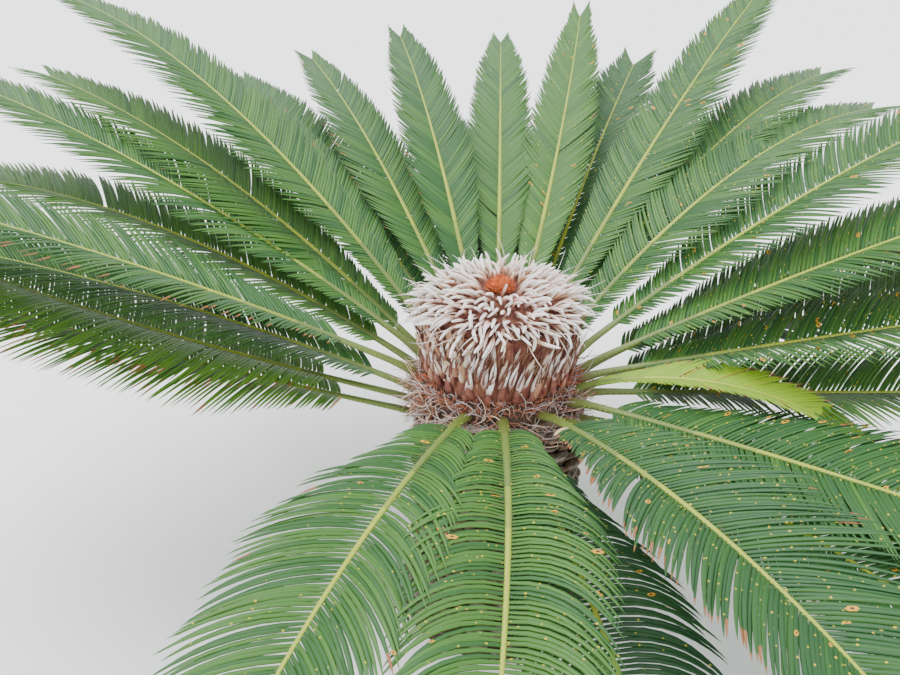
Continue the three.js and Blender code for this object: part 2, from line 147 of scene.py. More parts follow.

# turn: direction round the trunk. rise and tip: the rib's angle above level at the collar and at its end.
# bare: the share of the rib below its first leaflets. sway: how far the rib swings round along its length.
# arch, 0 to 1: how far its leaflets arch over. lift and sweep: by how many degrees its leaflets are turned up and
# out. leaflet: the longest leaflet, where it isn't the usual one. right: how long the leaflets on the right are
# against those on the left. lopsided: how far those on the right (below 0: on the left) stand higher and further out.
# tone: 0 is deep green and 1 yellow; fronds that lie in the shade of others above have raised tones, painted
# light against that shade. worn: the share of leaflets with dry tips, on the right and on the left.
# spots: how many leaflets are spotted, against the most spotted frond. tufts: how far leaflets gather in tufts.
FROND = dict(
    tier=0, spread=0, bare=0.09, sway=0, arch=0, lift=0, sweep=0, leaflet=None, right=1.0, lopsided=0,
    worn=(0.02, 0.02), spots=0.5, tufts=0.25,
)
FRONDS = [FROND | own for own in (
    dict(turn=358, rise=14.5, tip=10.5, length=1.150, spread=0.65, bare=0.1, sweep=8, lopsided=0.7, tone=0.40, spots=1),
    dict(turn=8, rise=26, tip=13.5, length=1.200, spread=0.45, bare=0.1, sweep=10, lopsided=0.7, tone=0.42),
    dict(turn=24, rise=32.5, tip=9, length=1.200, spread=0.35, sweep=8, lopsided=0.7, tone=0.38),
    dict(turn=40, rise=37.5, tip=-5.5, length=1.020, spread=0.25, bare=0.05, sweep=4, lopsided=0.6, tone=0.40),
    dict(turn=59, rise=31.5, tip=17, length=1.250, spread=0.05, bare=0.05, lopsided=0.5, tone=0.40),
    dict(turn=77, rise=30.5, tip=19.5, length=1.030, bare=0.05, sway=7, tone=0.46),
    dict(turn=91, rise=33, tip=7.5, length=1.020, bare=0.05, tone=0.44),
    dict(turn=106, rise=38.5, tip=10.5, length=0.945, bare=0.05, tone=0.38, worn=(0.02, 0.25)),
    dict(turn=117, rise=28.5, tip=7, length=1.050, bare=0.05, lopsided=-0.4, tone=0.40, worn=(0.02, 0.2)),
    dict(turn=142, rise=38.5, tip=5.5, length=1.300, spread=0.25, lopsided=-1, tone=0.42),
    dict(turn=159.5, rise=29.5, tip=9, length=1.250, spread=0.3, lopsided=-1, tone=0.40),
    dict(turn=183, rise=26, tip=11.5, length=1.200, spread=0.75, bare=0.13, lopsided=-1, tone=0.38, worn=(0.02, 0.4)),
    dict(turn=250, rise=10, tip=-41, length=1.100, spread=1, bare=0.06, arch=0.4, sweep=-8,
         tone=0.40, worn=(0.12, 0.05), spots=0.3, tufts=0.9),
    dict(turn=274, rise=8, tip=-29.5, length=1.100, spread=1, bare=0.05, sway=-14, arch=1,
         tone=0.42, spots=0.6, tufts=0.6),
    dict(turn=300, rise=16.5, tip=-31, length=1.150, spread=1, bare=0.08, lift=4, sweep=-6,
         tone=0.30, worn=(0.9, 0.06), spots=1, tufts=1),
    dict(turn=316, rise=10, tip=-28, length=1.150, tier=1, spread=0.9, bare=0.08, lift=-5,
         tone=0.34, worn=(0.15, 0.05), spots=1, tufts=0.7),
    dict(turn=326, rise=7.5, tip=-4, length=1.200, spread=0.85, bare=0.08, lift=-8, sweep=2,
         tone=0.34, worn=(0.15, 0.05), spots=1),
    dict(turn=342, rise=26.5, tip=-26, length=0.464, lift=5, sweep=9,
         leaflet=0.091, right=0.6, lopsided=0.6, tone=0.86, worn=(0.05, 0.7), spots=0),
    dict(turn=355, rise=4.5, tip=7.5, length=1.150, tier=1, spread=0.8, sweep=6, lopsided=0.7, tone=0.44, spots=0.8),
    dict(turn=17, rise=24, tip=0, length=1.250, tier=1, spread=0.5, sweep=8, lopsided=0.7, tone=0.40),
    # This frond and the next five: tones raised over their own colour, painted light against the shade of the fronds
    # above.
    dict(turn=50, rise=35, tip=-1.5, length=1.150, tier=1, spread=0.3, lopsided=0.6, tone=0.42),
    dict(turn=124, rise=23, tip=2.5, length=1.200, tier=1, spread=0.3, lopsided=-0.5, tone=0.40),
    dict(turn=133, rise=31, tip=6.5, length=1.150, tier=1, spread=0.2, lopsided=-0.7, tone=0.40),
    dict(turn=149, rise=32, tip=6.5, length=1.150, tier=1, spread=0.3, lopsided=-1, tone=0.46),
    dict(turn=162, rise=26, tip=-7.5, length=1.250, tier=1, spread=0.6, lopsided=-1, tone=0.50, worn=(0.05, 0.1)),
    dict(turn=12, rise=17.5, tip=2.5, length=1.200, tier=2, spread=0.6, sweep=8, lopsided=0.7, tone=0.44),
    dict(turn=72, rise=29.5, tip=14.5, length=1.000, tier=2, spread=0.3, tone=0.34),
    dict(turn=99, rise=23.5, tip=0, length=0.950, tier=2, spread=0.3, tone=0.32),
    # Tone raised: painted light against the shade of the fronds above.
    dict(turn=174, rise=19.5, tip=4.5, length=1.100, tier=2, spread=0.8, lopsided=-1, tone=0.40),
    dict(turn=287, rise=-2.5, tip=-38.5, length=1.050, tier=2, spread=1, arch=1, tone=0.22),
    dict(turn=338, rise=5.5, tip=-21, length=1.100, tier=2, spread=0.9, arch=0.3, tone=0.32),
    dict(turn=85, rise=22, tip=0, length=0.900, tier=3, spread=0.3, tone=0.30),
    # The two lowest fronds: tones raised, painted light against the shade of the fronds above.
    dict(turn=172, rise=8, tip=19, length=1.200, tier=3, spread=1, bare=0.16, arch=0.5, lift=-6, sweep=8,
         lopsided=-0.9, tone=0.62, worn=(0.02, 0.6)),
    dict(turn=175, rise=8, tip=11, length=1.000, tier=4, spread=1, bare=0.16, sway=-6, arch=0.5, lift=-6, sweep=6,
         lopsided=-0.9, tone=0.60, worn=(0.1, 0.7)),
)]

# Leaflets are joined into a piece for each side of the crown: its name and the directions that it covers.
SECTORS = (
    ("right", -30, 30),
    ("back_right", 30, 88),
    ("back_left", 88, 140),
    ("left_high", 140, 165),
    ("left_low", 165, 200),
    ("front", 200, 330),
)
SPOTTED = ("front", "right", "back_right")

# Leaf bases and tufts by chance: turns and leans in radians, and sizes against the usual one. A tuft's flat side faces
# outwards and a little up.
BASE_CHANCE = dict(radius=0.06, turn=0.05, lean=0.12, aside=0.16)
BASE_SIZES = (0.82, 1.12)
BASE_SEED = 77
TUFT_TURN_CHANCE = 0.06
TUFT_SIZES = (0.8, 1.15)
TUFT_FACING = (0.0, 0.0, 0.35)

# Finishes: detail and roughness of the noise, of its relief and of the bodies' shape, which part of the noise's range
# colours and roughness take, how far it shifts graded colours, and how much finer than the noise the relief is
NOISE = (4.0, 0.6)
RELIEF_NOISE = (5.0, 0.6)
BODY_NOISE = (4.0, 0.62)
COLOUR_RANGE = (0.35, 0.65)
ROUGHNESS_RANGE = (0.3, 0.7)
GRADE_SHIFT = 0.4
RELIEF_FINENESS = 2.5

# Spots lie on faces that look up by this much, on this share of a leaflet, in sizes against the usual one
SPOT_FACING = 0.3
SPOTS_END = 0.85
SPOT_SIZES = (0.6, 1.3)

# Widths along a strand, as pairs of a share of its length and a share of its full width
LEAFLET_WIDTHS = ((0, 0.72), (0.1, 0.98), (0.35, 1), (0.66, 0.86), (0.88, 0.50), (1, 0.04))
FINGER_WIDTHS = ((0, 0.85), (0.4, 1), (0.82, 0.84), (0.95, 0.52), (1, 0.14))
FIBRE_WIDTHS = ((0, 0.9), (0.4, 1), (0.8, 0.6), (1, 0.1))
AWL_WIDTHS = ((0, 1), (0.3, 0.9), (0.6, 0.5), (1, 0.06))
POD_WIDTHS = ((0, 0.45), (0.14, 0.82), (0.30, 1), (0.46, 0.82), (0.62, 0.34), (0.74, 0.15), (1, 0.05))
FOOT_WIDTHS = ((0, 0.8), (0.3, 1), (0.7, 0.8), (1, 0.2))


def length(name, description, default):
    return bpy.props.FloatProperty(name=name, description=description, default=default, min=0.0, unit="LENGTH")


def colour(name, description, default):
    return bpy.props.FloatVectorProperty(
        name=name, description=description, default=default, min=0.0, max=1.0, size=3, subtype="COLOR"
    )


def count(name, description, default):
    return bpy.props.IntProperty(name=name, description=description, default=default, min=1)


def amount(name, description, default):
    return bpy.props.FloatProperty(name=name, description=description, default=default, min=0.0)


class LeafletSettings(bpy.types.PropertyGroup):
    """Sizes and colours of the leaflets"""

    spacing: length("Spacing", "From one leaflet to the next along the rib", 0.0076)
    width: length("Width", "Width of a leaflet at its widest", 0.0074)
    thickness: length("Thickness", "Thickness of a leaflet's midrib", 0.0016)
    segments: count("Segments", "Lengths that a leaflet's curve is made of", 8)
    speckle_density: amount("Speckles", "Small spots on a square metre of the sickest leaflets", 2400.0)
    blotch_density: amount("Blotches", "Large spots on a square metre of the sickest leaflets", 170.0)
    deep: colour("Deep green", "Colour of the oldest and most shaded leaflets", (0.013, 0.046, 0.022))
    full: colour("Full green", "Colour of most leaflets", (0.021, 0.082, 0.018))
    fresh: colour("Fresh green", "Colour of the lightest leaflets", (0.088, 0.205, 0.026))
    yellow: colour("Yellow", "Colour of yellowing and very young leaflets", (0.200, 0.320, 0.008))
    dry: colour("Dry tip", "Colour of a leaflet's dry tip", (0.235, 0.092, 0.030))
    dead: colour("Dead", "Colour of a dead leaflet", (0.520, 0.400, 0.220))
    speckle: colour("Speckle", "Colour of the small spots on sick leaflets", (0.400, 0.340, 0.016))
    blotch: colour("Blotch", "Colour of the large spots on sick leaflets", (0.500, 0.270, 0.014))
    scar: colour("Scar", "Colour of a large spot's middle", (0.070, 0.018, 0.008))


class StalkSettings(bpy.types.PropertyGroup):
    """Colours of the stalks and ribs, and sizes of their spines"""

    foot: colour("Foot", "Colour of a stalk's foot at the trunk", (0.100, 0.062, 0.022))
    stalk: colour("Stalk", "Colour of the bare stalk", (0.105, 0.155, 0.022))
    rib: colour("Rib", "Colour of the rib among the leaflets", (0.280, 0.330, 0.018))
    foot_drop: length("Foot drop", "How far a stalk's foot hangs at the trunk", 0.004)
    spine_spacing: length("Spine spacing", "From one spine to the next along a stalk", 0.010)
    spine_width: length("Spine width", "Width of a spine at its foot", 0.0030)


class TrunkSettings(bpy.types.PropertyGroup):
    """Sizes and colours of the trunk"""

    radius: length("Radius", "Radius of the trunk inside its leaf bases", 0.139)
    flare: length("Flare", "How far the foot spreads at the ground", 0.040)
    flare_height: length("Flare height", "Height at which the spread foot begins", 0.170)
    base_count: count("Leaf bases", "Number of old leaf bases on the trunk", 560)
    base_size: length("Leaf base size", "Width of an old leaf base", 0.046)
    bark: colour("Bark", "Colour of the bark between the leaf bases", (0.070, 0.042, 0.026))
    base: colour("Leaf base", "Colour of the old leaf bases", (0.170, 0.110, 0.070))
    worn_base: colour("Worn leaf base", "Colour of the greyest old leaf bases", (0.270, 0.230, 0.190))


class HeadSettings(bpy.types.PropertyGroup):
    """Sizes and colours of the head, its wool, its heart and the collar's fibres"""

    scale_count: count("Scales", "Number of awl-tipped scales on the drum", 300)
    scale_length: length("Scale length", "Length of an awl-tipped scale", 0.062)
    awl_count: count("Awls", "Number of thin dark awls over the pods", 300)
    pod_count: count("Pods", "Number of woolly pods between the scales", 126)
    pod_length: length("Pod length", "Length of a woolly pod with its awl", 0.084)
    finger_count: count("Fingers", "Number of woolly fingers on the dome", 340)
    finger_length: length("Finger length", "Length of a woolly finger", 0.078)
    finger_width: length("Finger width", "Thickness of a woolly finger", 0.0060)
    wisp_count: count("Wisps", "Number of thin hairs round the dome's rim", 110)
    fibre_count: count("Heart fibres", "Number of fibres in the felted heart", 900)
    scale: colour("Scale", "Colour of the scales", (0.330, 0.140, 0.082))
    maroon: colour("Scale foot", "Colour of the lowest scales", (0.110, 0.019, 0.015))
    paper: colour("Papery scale", "Colour of the dry papery scales", (0.520, 0.340, 0.200))
    wool: colour("Wool", "Colour of the wool", (0.840, 0.800, 0.775))
    felt: colour("Felt", "Colour of the heart", (0.620, 0.115, 0.018))


class StageSettings(bpy.types.PropertyGroup):
    """Floor and light"""

    floor: colour("Floor", "Colour of the floor", (0.920, 0.920, 0.905))
    key_strength: amount("Key strength", "Strength of the soft light from above", 4.2)
    key_angle: bpy.props.FloatProperty(
        name="Key angle", description="How wide the soft light is", default=math.radians(50), min=0.0, unit="ROTATION"
    )
    front_power: amount("Front power", "Power of the light beside the camera, in watts", 80.0)
    sky: amount("Sky", "Strength of the even light from all round", 1.80)


def is_vector(value):
    return isinstance(value, tuple) or isinstance(value, Value) and value.socket.type == "VECTOR"


class Value:
    """An output of a node. Working with values as with numbers adds the nodes that do the sum in the tree."""

    def __init__(self, nodes, socket):
        self.nodes = nodes
        self.socket = socket
        self.node = socket.node

    def beside(self, name):
        """Another output of the same node"""
        return Value(self.nodes, self.node.outputs[name])

    def __add__(self, other):
        return self.nodes.work("ADD", self, other)

    def __sub__(self, other):
        return self.nodes.work("SUBTRACT", self, other)

    def __rsub__(self, other):
        return self.nodes.work("SUBTRACT", other, self)

    def __mul__(self, other):
        if is_vector(self) == is_vector(other):
            return self.nodes.work("MULTIPLY", self, other)
        return self.nodes.work("SCALE", *sorted((self, other), key=is_vector, reverse=True))

    __radd__ = __add__
    __rmul__ = __mul__

    def __truediv__(self, other):
        return self.nodes.work("DIVIDE", self, other)

    def __pow__(self, other):
        return self.nodes.work("POWER", self, other)

    def __lt__(self, other):
        return self.nodes.compare("LESS_THAN", self, other)

    def __gt__(self, other):
        return self.nodes.compare("GREATER_THAN", self, other)


class Nodes:
    """Short ways to add nodes to a node tree and join them"""

    def __init__(self, tree):
        self.tree = tree

    def link(self, value, socket):
        """Joins a value to an input, or sets the input to a plain one"""
        if isinstance(value, Value):
            self.tree.links.new(value.socket, socket)
        elif value is not None:
            socket.default_value = value

    def add(self, kind, *values, **settings):
        """Adds a node, gives its open inputs their values in order, and returns its first output"""
        node = self.tree.nodes.new(kind)
        for key, value in settings.items():
            setattr(node, key, value)
        for value, socket in zip(values, [socket for socket in node.inputs if socket.enabled]):
            self.link(value, socket)
        return Value(self, next(socket for socket in node.outputs if socket.enabled))

    def work(self, operation, *values):
        """A sum of numbers, or of vectors where one of the values is a vector"""
        kind = "ShaderNodeVectorMath" if any(map(is_vector, values)) else "ShaderNodeMath"
        return self.add(kind, *values, operation=operation)

    def vector(self, *numbers):
        return self.add("ShaderNodeCombineXYZ", *numbers)

    def map_range(self, value, *limits, **settings):
        """Turns a value from one range, its lowest and highest, to another"""
        return self.add("ShaderNodeMapRange", value, *limits, **settings)

    def ease(self, value, *limits):
        return self.map_range(value, *limits, interpolation_type="SMOOTHSTEP")


class Growth(Nodes):
    """A Geometry Nodes tree with named inputs"""

    def __init__(self, name, sizes):
        super().__init__(bpy.data.node_groups.new(name, "GeometryNodeTree"))
        sockets = self.tree.interface
        for way in ("INPUT", "OUTPUT"):
            sockets.new_socket("Geometry", in_out=way, socket_type="NodeSocketGeometry")
        for label, value in sizes.items():
            kind = "NodeSocketInt" if isinstance(value, int) else "NodeSocketFloat"
            sockets.new_socket(label, in_out="INPUT", socket_type=kind).default_value = value
        self.inputs = self.tree.nodes.new("NodeGroupInput").outputs
        self.sizes = sizes
        self.seed = 0

    def __getitem__(self, label):
        return Value(self, self.inputs[label])

    def step(self, kind, *values, **settings):
        return self.add(f"GeometryNode{kind}", *values, **settings)

    def random(self, low, high):
        """A number for each point by chance, and not the same as in any other call"""
        self.seed += 1
        return self.add("FunctionNodeRandomValue", low, high, None, self.seed, data_type="FLOAT")

    def blend(self, share, low, high):
        return self.add("ShaderNodeMix", share, low, high, data_type="FLOAT")

    def span(self, share, label):
        """What lies between the inputs First and Last of that label"""
        return self.blend(share, self[f"First {label}"], self[f"Last {label}"])

    def read(self, name):
        return self.step("InputNamedAttribute", name, data_type="FLOAT")

    def arrow(self, name):
        return self.step("InputNamedAttribute", name, data_type="FLOAT_VECTOR")

    def store(self, geometry, name, value):
        kind = "FLOAT_VECTOR" if is_vector(value) else "FLOAT"
        return self.step("StoreNamedAttribute", geometry, None, name, value, data_type=kind)

    def compare(self, operation, first, second):
        return self.add("FunctionNodeCompare", first, second, operation=operation, data_type="FLOAT")

    def switch(self, test, no, yes):
        return self.step("Switch", test, no, yes, input_type="FLOAT")

    def circle(self, turn):
        """The direction out from the axis at a turn"""
        return self.vector(self.work("COSINE", turn), self.work("SINE", turn))

    def join(self, *geometries):
        node = self.tree.nodes.new("GeometryNodeJoinGeometry")
        for geometry in geometries:
            self.link(geometry, node.inputs[0])
        return Value(self, node.outputs[0])

    def dress(self, geometry, finishes, tone):
        """Sets the materials of a list by the whole numbers of a tone, counted from 0"""
        for number, finish in enumerate(finishes):
            chosen = self.compare("EQUAL", tone, None)
            chosen.node.inputs["B"].default_value = number
            chosen.node.inputs["Epsilon"].default_value = 0.5
            geometry = self.step("SetMaterial", geometry, chosen, finish)
        return geometry

    def show(self, piece, as_instance=False):
        """The shape of an object that is laid out beside the piece"""
        return self.step("ObjectInfo", piece, as_instance).beside("Geometry")

    def strands(self, points, section, widths):
        """Grows a tapering tube from each point. The point's attributes say where the tube sets out and ends towards
        (start, end), how long and wide it is, and which way its flat side faces (facing). section is the tube's
        outline as an object."""
        segments = self["Segments"]
        line = self.step("MeshLine", segments + 1, None, None, mode="OFFSET")
        left = 1.0 - self.step("InputIndex") / segments
        line = self.store(line, "reach", 1.0 - self.work("MAXIMUM", left, 0.0) ** TIP_CROWDING)
        points = self.store(points, "foot", self.step("InputPosition"))
        strands = self.step("RealizeInstances", self.step("InstanceOnPoints", points, None, line))
        strands = self.step("MeshToCurve", strands)
        share = self.read("reach")
        bent = share**2.0 * 0.5
        path = self.arrow("start") * (share - bent) + self.arrow("end") * bent
        place = self.arrow("foot") + path * self.read("length")
        strands = self.step("SetPosition", strands, None, place)
        facing, tangent = self.arrow("facing"), self.step("InputTangent")
        square = facing - tangent * self.work("DOT_PRODUCT", facing, tangent)
        strands = self.step("SetCurveNormal", strands, None, self.work("NORMALIZE", square), mode="FREE")
        taper = self.add("ShaderNodeFloatCurve", None, share)
        curve = taper.node.mapping.curves[0]
        for place, width in widths[1:-1]:
            curve.points.new(place, width)
        curve.points[0].location, curve.points[-1].location = widths[0], widths[-1]
        taper.node.mapping.update()
        outline = self.step("MeshToCurve", self.show(section))
        tubes = self.step("CurveToMesh", strands, outline, self.read("width") * taper, True)
        return self.step("RealizeInstances", tubes)

    def finish(self, geometry):
        self.link(geometry, self.tree.nodes.new("NodeGroupOutput").inputs[0])


def new_piece(name, mesh=None):
    piece = bpy.data.objects.new(name, mesh or bpy.data.meshes.new(name))
    bpy.context.scene.collection.objects.link(piece)
    return piece


def grow(piece, tree, changes=()):
    """Runs the tree on the piece, with changes to its named inputs, and keeps the result as a plain mesh"""
    values = tree.sizes | dict(changes)
    modifier = piece.modifiers.new(tree.tree.name, "NODES")
    modifier.node_group = tree.tree
    for item in tree.tree.interface.items_tree:
        if item.in_out == "INPUT" and item.name in values:
            modifier[item.identifier] = values[item.name]
    depsgraph = bpy.context.evaluated_depsgraph_get()
    mesh = bpy.data.meshes.new_from_object(piece.evaluated_get(depsgraph), depsgraph=depsgraph)
    piece.modifiers.clear()
    piece.data = mesh
    mesh.name = piece.name
    return piece


def seat(piece, nodes=()):
    """Lets the finished piece stand for its nodes and move with the palm"""
    if not piece.data.polygons:
        raise RuntimeError(f"{piece.name} has no faces")
    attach(piece, "root")
    if nodes:
        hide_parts(*nodes)


def new_section(name, corners, margin=None):
    """A closed outline, one unit wide, of points (out, across) that go round from the outermost. margin says how
    much each point belongs to the outline's margin."""
    mesh = bpy.data.meshes.new(name)
    edges = [(number, (number + 1) % len(corners)) for number in range(len(corners))]
    mesh.from_pydata([(out, across, 0.0) for out, across in corners], edges, [])
    values = margin or [0.0] * len(corners)
    mesh.attributes.new("margin", "FLOAT", "POINT").data.foreach_set("value", values)
    return new_piece(name, mesh)


def turns_round(sides):
    return [2 * math.pi * side / sides for side in range(sides)]


def round_section(name, sides, flatness=1.0):
    """An oval outline, one unit wide and flatness units thick"""
    return new_section(name, [(math.cos(turn) * flatness / 2, math.sin(turn) / 2) for turn in turns_round(sides)])


def leaflet_section(width, thickness):
    """A leaflet's outline: a low ridge along its middle, and margins that are rolled under"""
    ridge, shoulder, under = (share * thickness / width for share in (0.5, 0.35, -0.5))
    corners = ((ridge, 0.0), (shoulder, 0.33), (under, 0.5), (under, -0.5), (shoulder, -0.33))
    return new_section("leaflet_section", corners, (0.0, 0.5, 1.0, 1.0, 0.5))


def new_body(name, points, faces):
    mesh = bpy.data.meshes.new(name)
    mesh.from_pydata(points, [], faces)
    return new_piece(name, mesh)


def walls(rows, sides, first=0):
    """The faces between rings of points that lie one above the other, from the first ring's first point on"""
    faces = []
    for low in range(first, first + (rows - 1) * sides, sides):
        for side in range(sides):
            here, after = low + side, low + (side + 1) % sides
            faces.append((here, after, after + sides, here + sides))
    return faces


def lathed(name, profile, sides):
    """A closed round body about the Z axis through (radius, height) points from its foot up"""
    points = [(0.0, 0.0, profile[0][1])]
    for radius, height in profile:
        points.extend((radius * math.cos(turn), radius * math.sin(turn), height) for turn in turns_round(sides))
    points.append((0.0, 0.0, profile[-1][1]))
    last = len(points) - 1
    faces = walls(len(profile), sides, first=1)
    for side in range(sides):
        after = (side + 1) % sides
        faces += [(0, 1 + after, 1 + side), (last, last - sides + side, last - sides + after)]
    return new_body(name, points, faces)


def lofted(name, stations, sides=8):
    """A closed scale that stands up along Z with its outer face towards X. Each station gives its height, width,
    thickness and how far its middle stands out."""
    points = [
        (out + thick / 2 * math.cos(turn), wide / 2 * math.sin(turn), height)
        for height, wide, thick, out in stations for turn in turns_round(sides)
    ]
    ends = [tuple(reversed(range(sides))), tuple(range(len(points) - sides, len(points)))]
    return new_body(name, points, walls(len(stations), sides) + ends)


def dome(radius, foot, rise, angles, rows):
    """Points (radius, height) up a dome, between two angles above its foot"""
    low, high = angles
    turns = [math.radians(low + (high - low) * row / rows) for row in range(rows + 1)]
    return [(radius * math.cos(turn), foot + rise * math.sin(turn)) for turn in turns]


def rough_body(name, profile, finish, sides, grain, upright, relief):
    """A lathed body whose outside is raised by noise, drawn out upwards, and whose ends are flat"""
    tree = Growth(f"{name} relief", {"Grain": grain, "Upright": upright, "Relief": relief})
    position = tree.step("InputPosition")
    drawn = position * tree.vector(1.0, 1.0, tree["Upright"])
    noise = tree.add("ShaderNodeTexNoise", drawn, tree["Grain"], *BODY_NOISE)
    outward = tree.work("NORMALIZE", position * (1.0, 1.0, 0.0))
    body = tree.step("SetPosition", tree["Geometry"], None, None, outward * ((noise - 0.5) * tree["Relief"]))
    body = tree.step("SetMaterial", tree.step("RealizeInstances", body), None, finish)
    tree.finish(tree.step("SetShadeSmooth", body))
    return grow(lathed(name, profile, sides), tree)


def make_finish(
    name, tones, roughness, grain=120.0, relief=0.0006, stretch=(1.0, 1.0, 1.0), even=(), graded=False
):
    """A material of one or more colours. Two are mixed by a fine noise. graded colours are pairs (reach, colour) that
    follow each other along a strand. grain is how fine the noise is, stretch draws the pattern out along an axis,
    and even holds values that are the same all over, by their socket's name."""
    material = bpy.data.materials.new(name)
    material.use_nodes = True
    nodes = Nodes(material.node_tree)
    inputs = material.node_tree.nodes["Principled BSDF"].inputs
    for socket, value in dict(even).items():
        inputs[socket].default_value = value
    place = nodes.add("ShaderNodeTexCoord").beside("Object")
    place = nodes.add("ShaderNodeMapping", place, None, None, stretch)
    noise = nodes.add("ShaderNodeTexNoise", place, grain, *NOISE)
    if graded:
        reach = nodes.add("ShaderNodeAttribute", attribute_name="reach").beside("Fac")
        ramp = nodes.add("ShaderNodeValToRGB", reach + (noise - 0.5) * GRADE_SHIFT)
        stops = ramp.node.color_ramp.elements
        for number, (at, tint) in enumerate(tones):
            stop = stops[0] if number == 0 else stops[-1] if number == 1 else stops.new(at)
            stop.position = at
            stop.color = (*tint, 1.0)
        nodes.link(ramp, inputs["Base Color"])
    elif len(tones) == 1:
        inputs["Base Color"].default_value = (*tones[0], 1.0)
    else:
        share = nodes.map_range(noise, *COLOUR_RANGE, 0.0, 1.0)
        mixed = nodes.add("ShaderNodeMix", share, *((*tint, 1.0) for tint in tones), data_type="RGBA")
        nodes.link(mixed, inputs["Base Color"])
    nodes.link(nodes.map_range(noise, *ROUGHNESS_RANGE, *roughness), inputs["Roughness"])
    height = nodes.add("ShaderNodeTexNoise", place, grain * RELIEF_FINENESS, *RELIEF_NOISE)
    bump = nodes.add("ShaderNodeBump")
    bump.node.inputs["Distance"].default_value = relief
    nodes.link(height, bump.node.inputs["Height"])
    nodes.link(bump, inputs["Normal"])
    return material


def between(low, high, share):
    return tuple(a + (b - a) * share for a, b in zip(low, high))


def colour_ramp(colours, steps):
    """That many colours, evenly from the first of a few to the last"""
    ramp = []
    for step in range(steps):
        place = step / (steps - 1) * (len(colours) - 1)
        first = min(int(place), len(colours) - 2)
        ramp.append(between(colours[first], colours[first + 1], place - first))
    return ramp


def part_way(pair, share):
    """The number that lies at a share of the way from the first of a pair to the second"""
    return pair[0] + (pair[1] - pair[0]) * share


def rib_stations(frond):
    """Points along a frond's rib, each with its share of the length, its place, the direction of the rib, the
    direction across the blade to the right, the blade's own up, and half the rib's width"""
    turn = math.radians(frond["turn"])
    place = Vector((RIB_START * math.cos(turn), RIB_START * math.sin(turn), TIERS[frond["tier"]]))
    stations = []
    for share in (*FOOT_SHARES, *(number / RIB_STATIONS for number in range(1, RIB_STATIONS + 1))):
        rise = math.radians(frond["rise"] + (frond["tip"] - frond["rise"]) * share**BEND_POWER)
        heading = math.radians(frond["turn"] + frond["sway"] * share)
        along = Vector((math.cos(heading) * math.cos(rise), math.sin(heading) * math.cos(rise), math.sin(rise)))
        if stations:
            step = (share - stations[-1]["share"]) * frond["length"]
            place = place + (along + stations[-1]["along"]).normalized() * step
        across = Vector((along.y, -along.x, 0)).normalized()
        stations.append(dict(
            share=share, place=place, along=along, across=across, up=across.cross(along),
            half_width=part_way(RIB_HALF_WIDTHS, share**RIB_TAPER), walked=share * frond["length"],
        ))
    return stations


def frond_values(frond):
    """What the node trees read about a whole frond"""
    spread, arch, lopsided = (float(frond[key]) for key in ("spread", "arch", "lopsided"))
    sweep = part_way(SWEEP, spread**SWEEP_POWER) + LOPSIDED["spread"] * abs(lopsided)
    worn_right, worn_left = frond["worn"]
    return dict(
        number=float(FRONDS.index(frond)),
        spread=spread,
        bare=frond["bare"],
        longest=frond["leaflet"] or part_way(LONGEST, spread),
        frond_tone=frond["tone"],
        worn_right=worn_right,
        worn_left=worn_left,
        fold=part_way(FOLD, spread) + ARCHED["fold"] * arch + frond["lift"],
        sweep=sweep + ARCHED["sweep"] * arch + frond["sweep"],
        droop=DROOP + ARCHED["droop"] * arch,
        curl=CURL + ARCHED["curl"] * arch + LOPSIDED["curl"] * abs(lopsided),
        lopsided=lopsided,
        right=frond["right"],
        tufts=frond["tufts"],
        spots=frond["spots"],
    )


def rib_guides(name, fronds):
    """A mesh with one row of edges for each frond's rib, whose points carry what the node trees read"""
    points, edges, values = [], [], {}
    for frond in fronds:
        for station in rib_stations(frond):
            if station["share"] > 0:
                edges.append((len(points) - 1, len(points)))
            points.append(station.pop("place"))
            for key, value in (frond_values(frond) | station).items():
                values.setdefault(key, []).append(value)
    mesh = bpy.data.meshes.new(name)
    mesh.from_pydata(points, edges, [])
    for key, column in values.items():
        if isinstance(column[0], Vector):
            attribute = mesh.attributes.new(key, "FLOAT_VECTOR", "POINT")
            attribute.data.foreach_set("vector", [number for vector in column for number in vector])
        else:
            mesh.attributes.new(key, "FLOAT", "POINT").data.foreach_set("value", column)
    return new_piece(name, mesh)


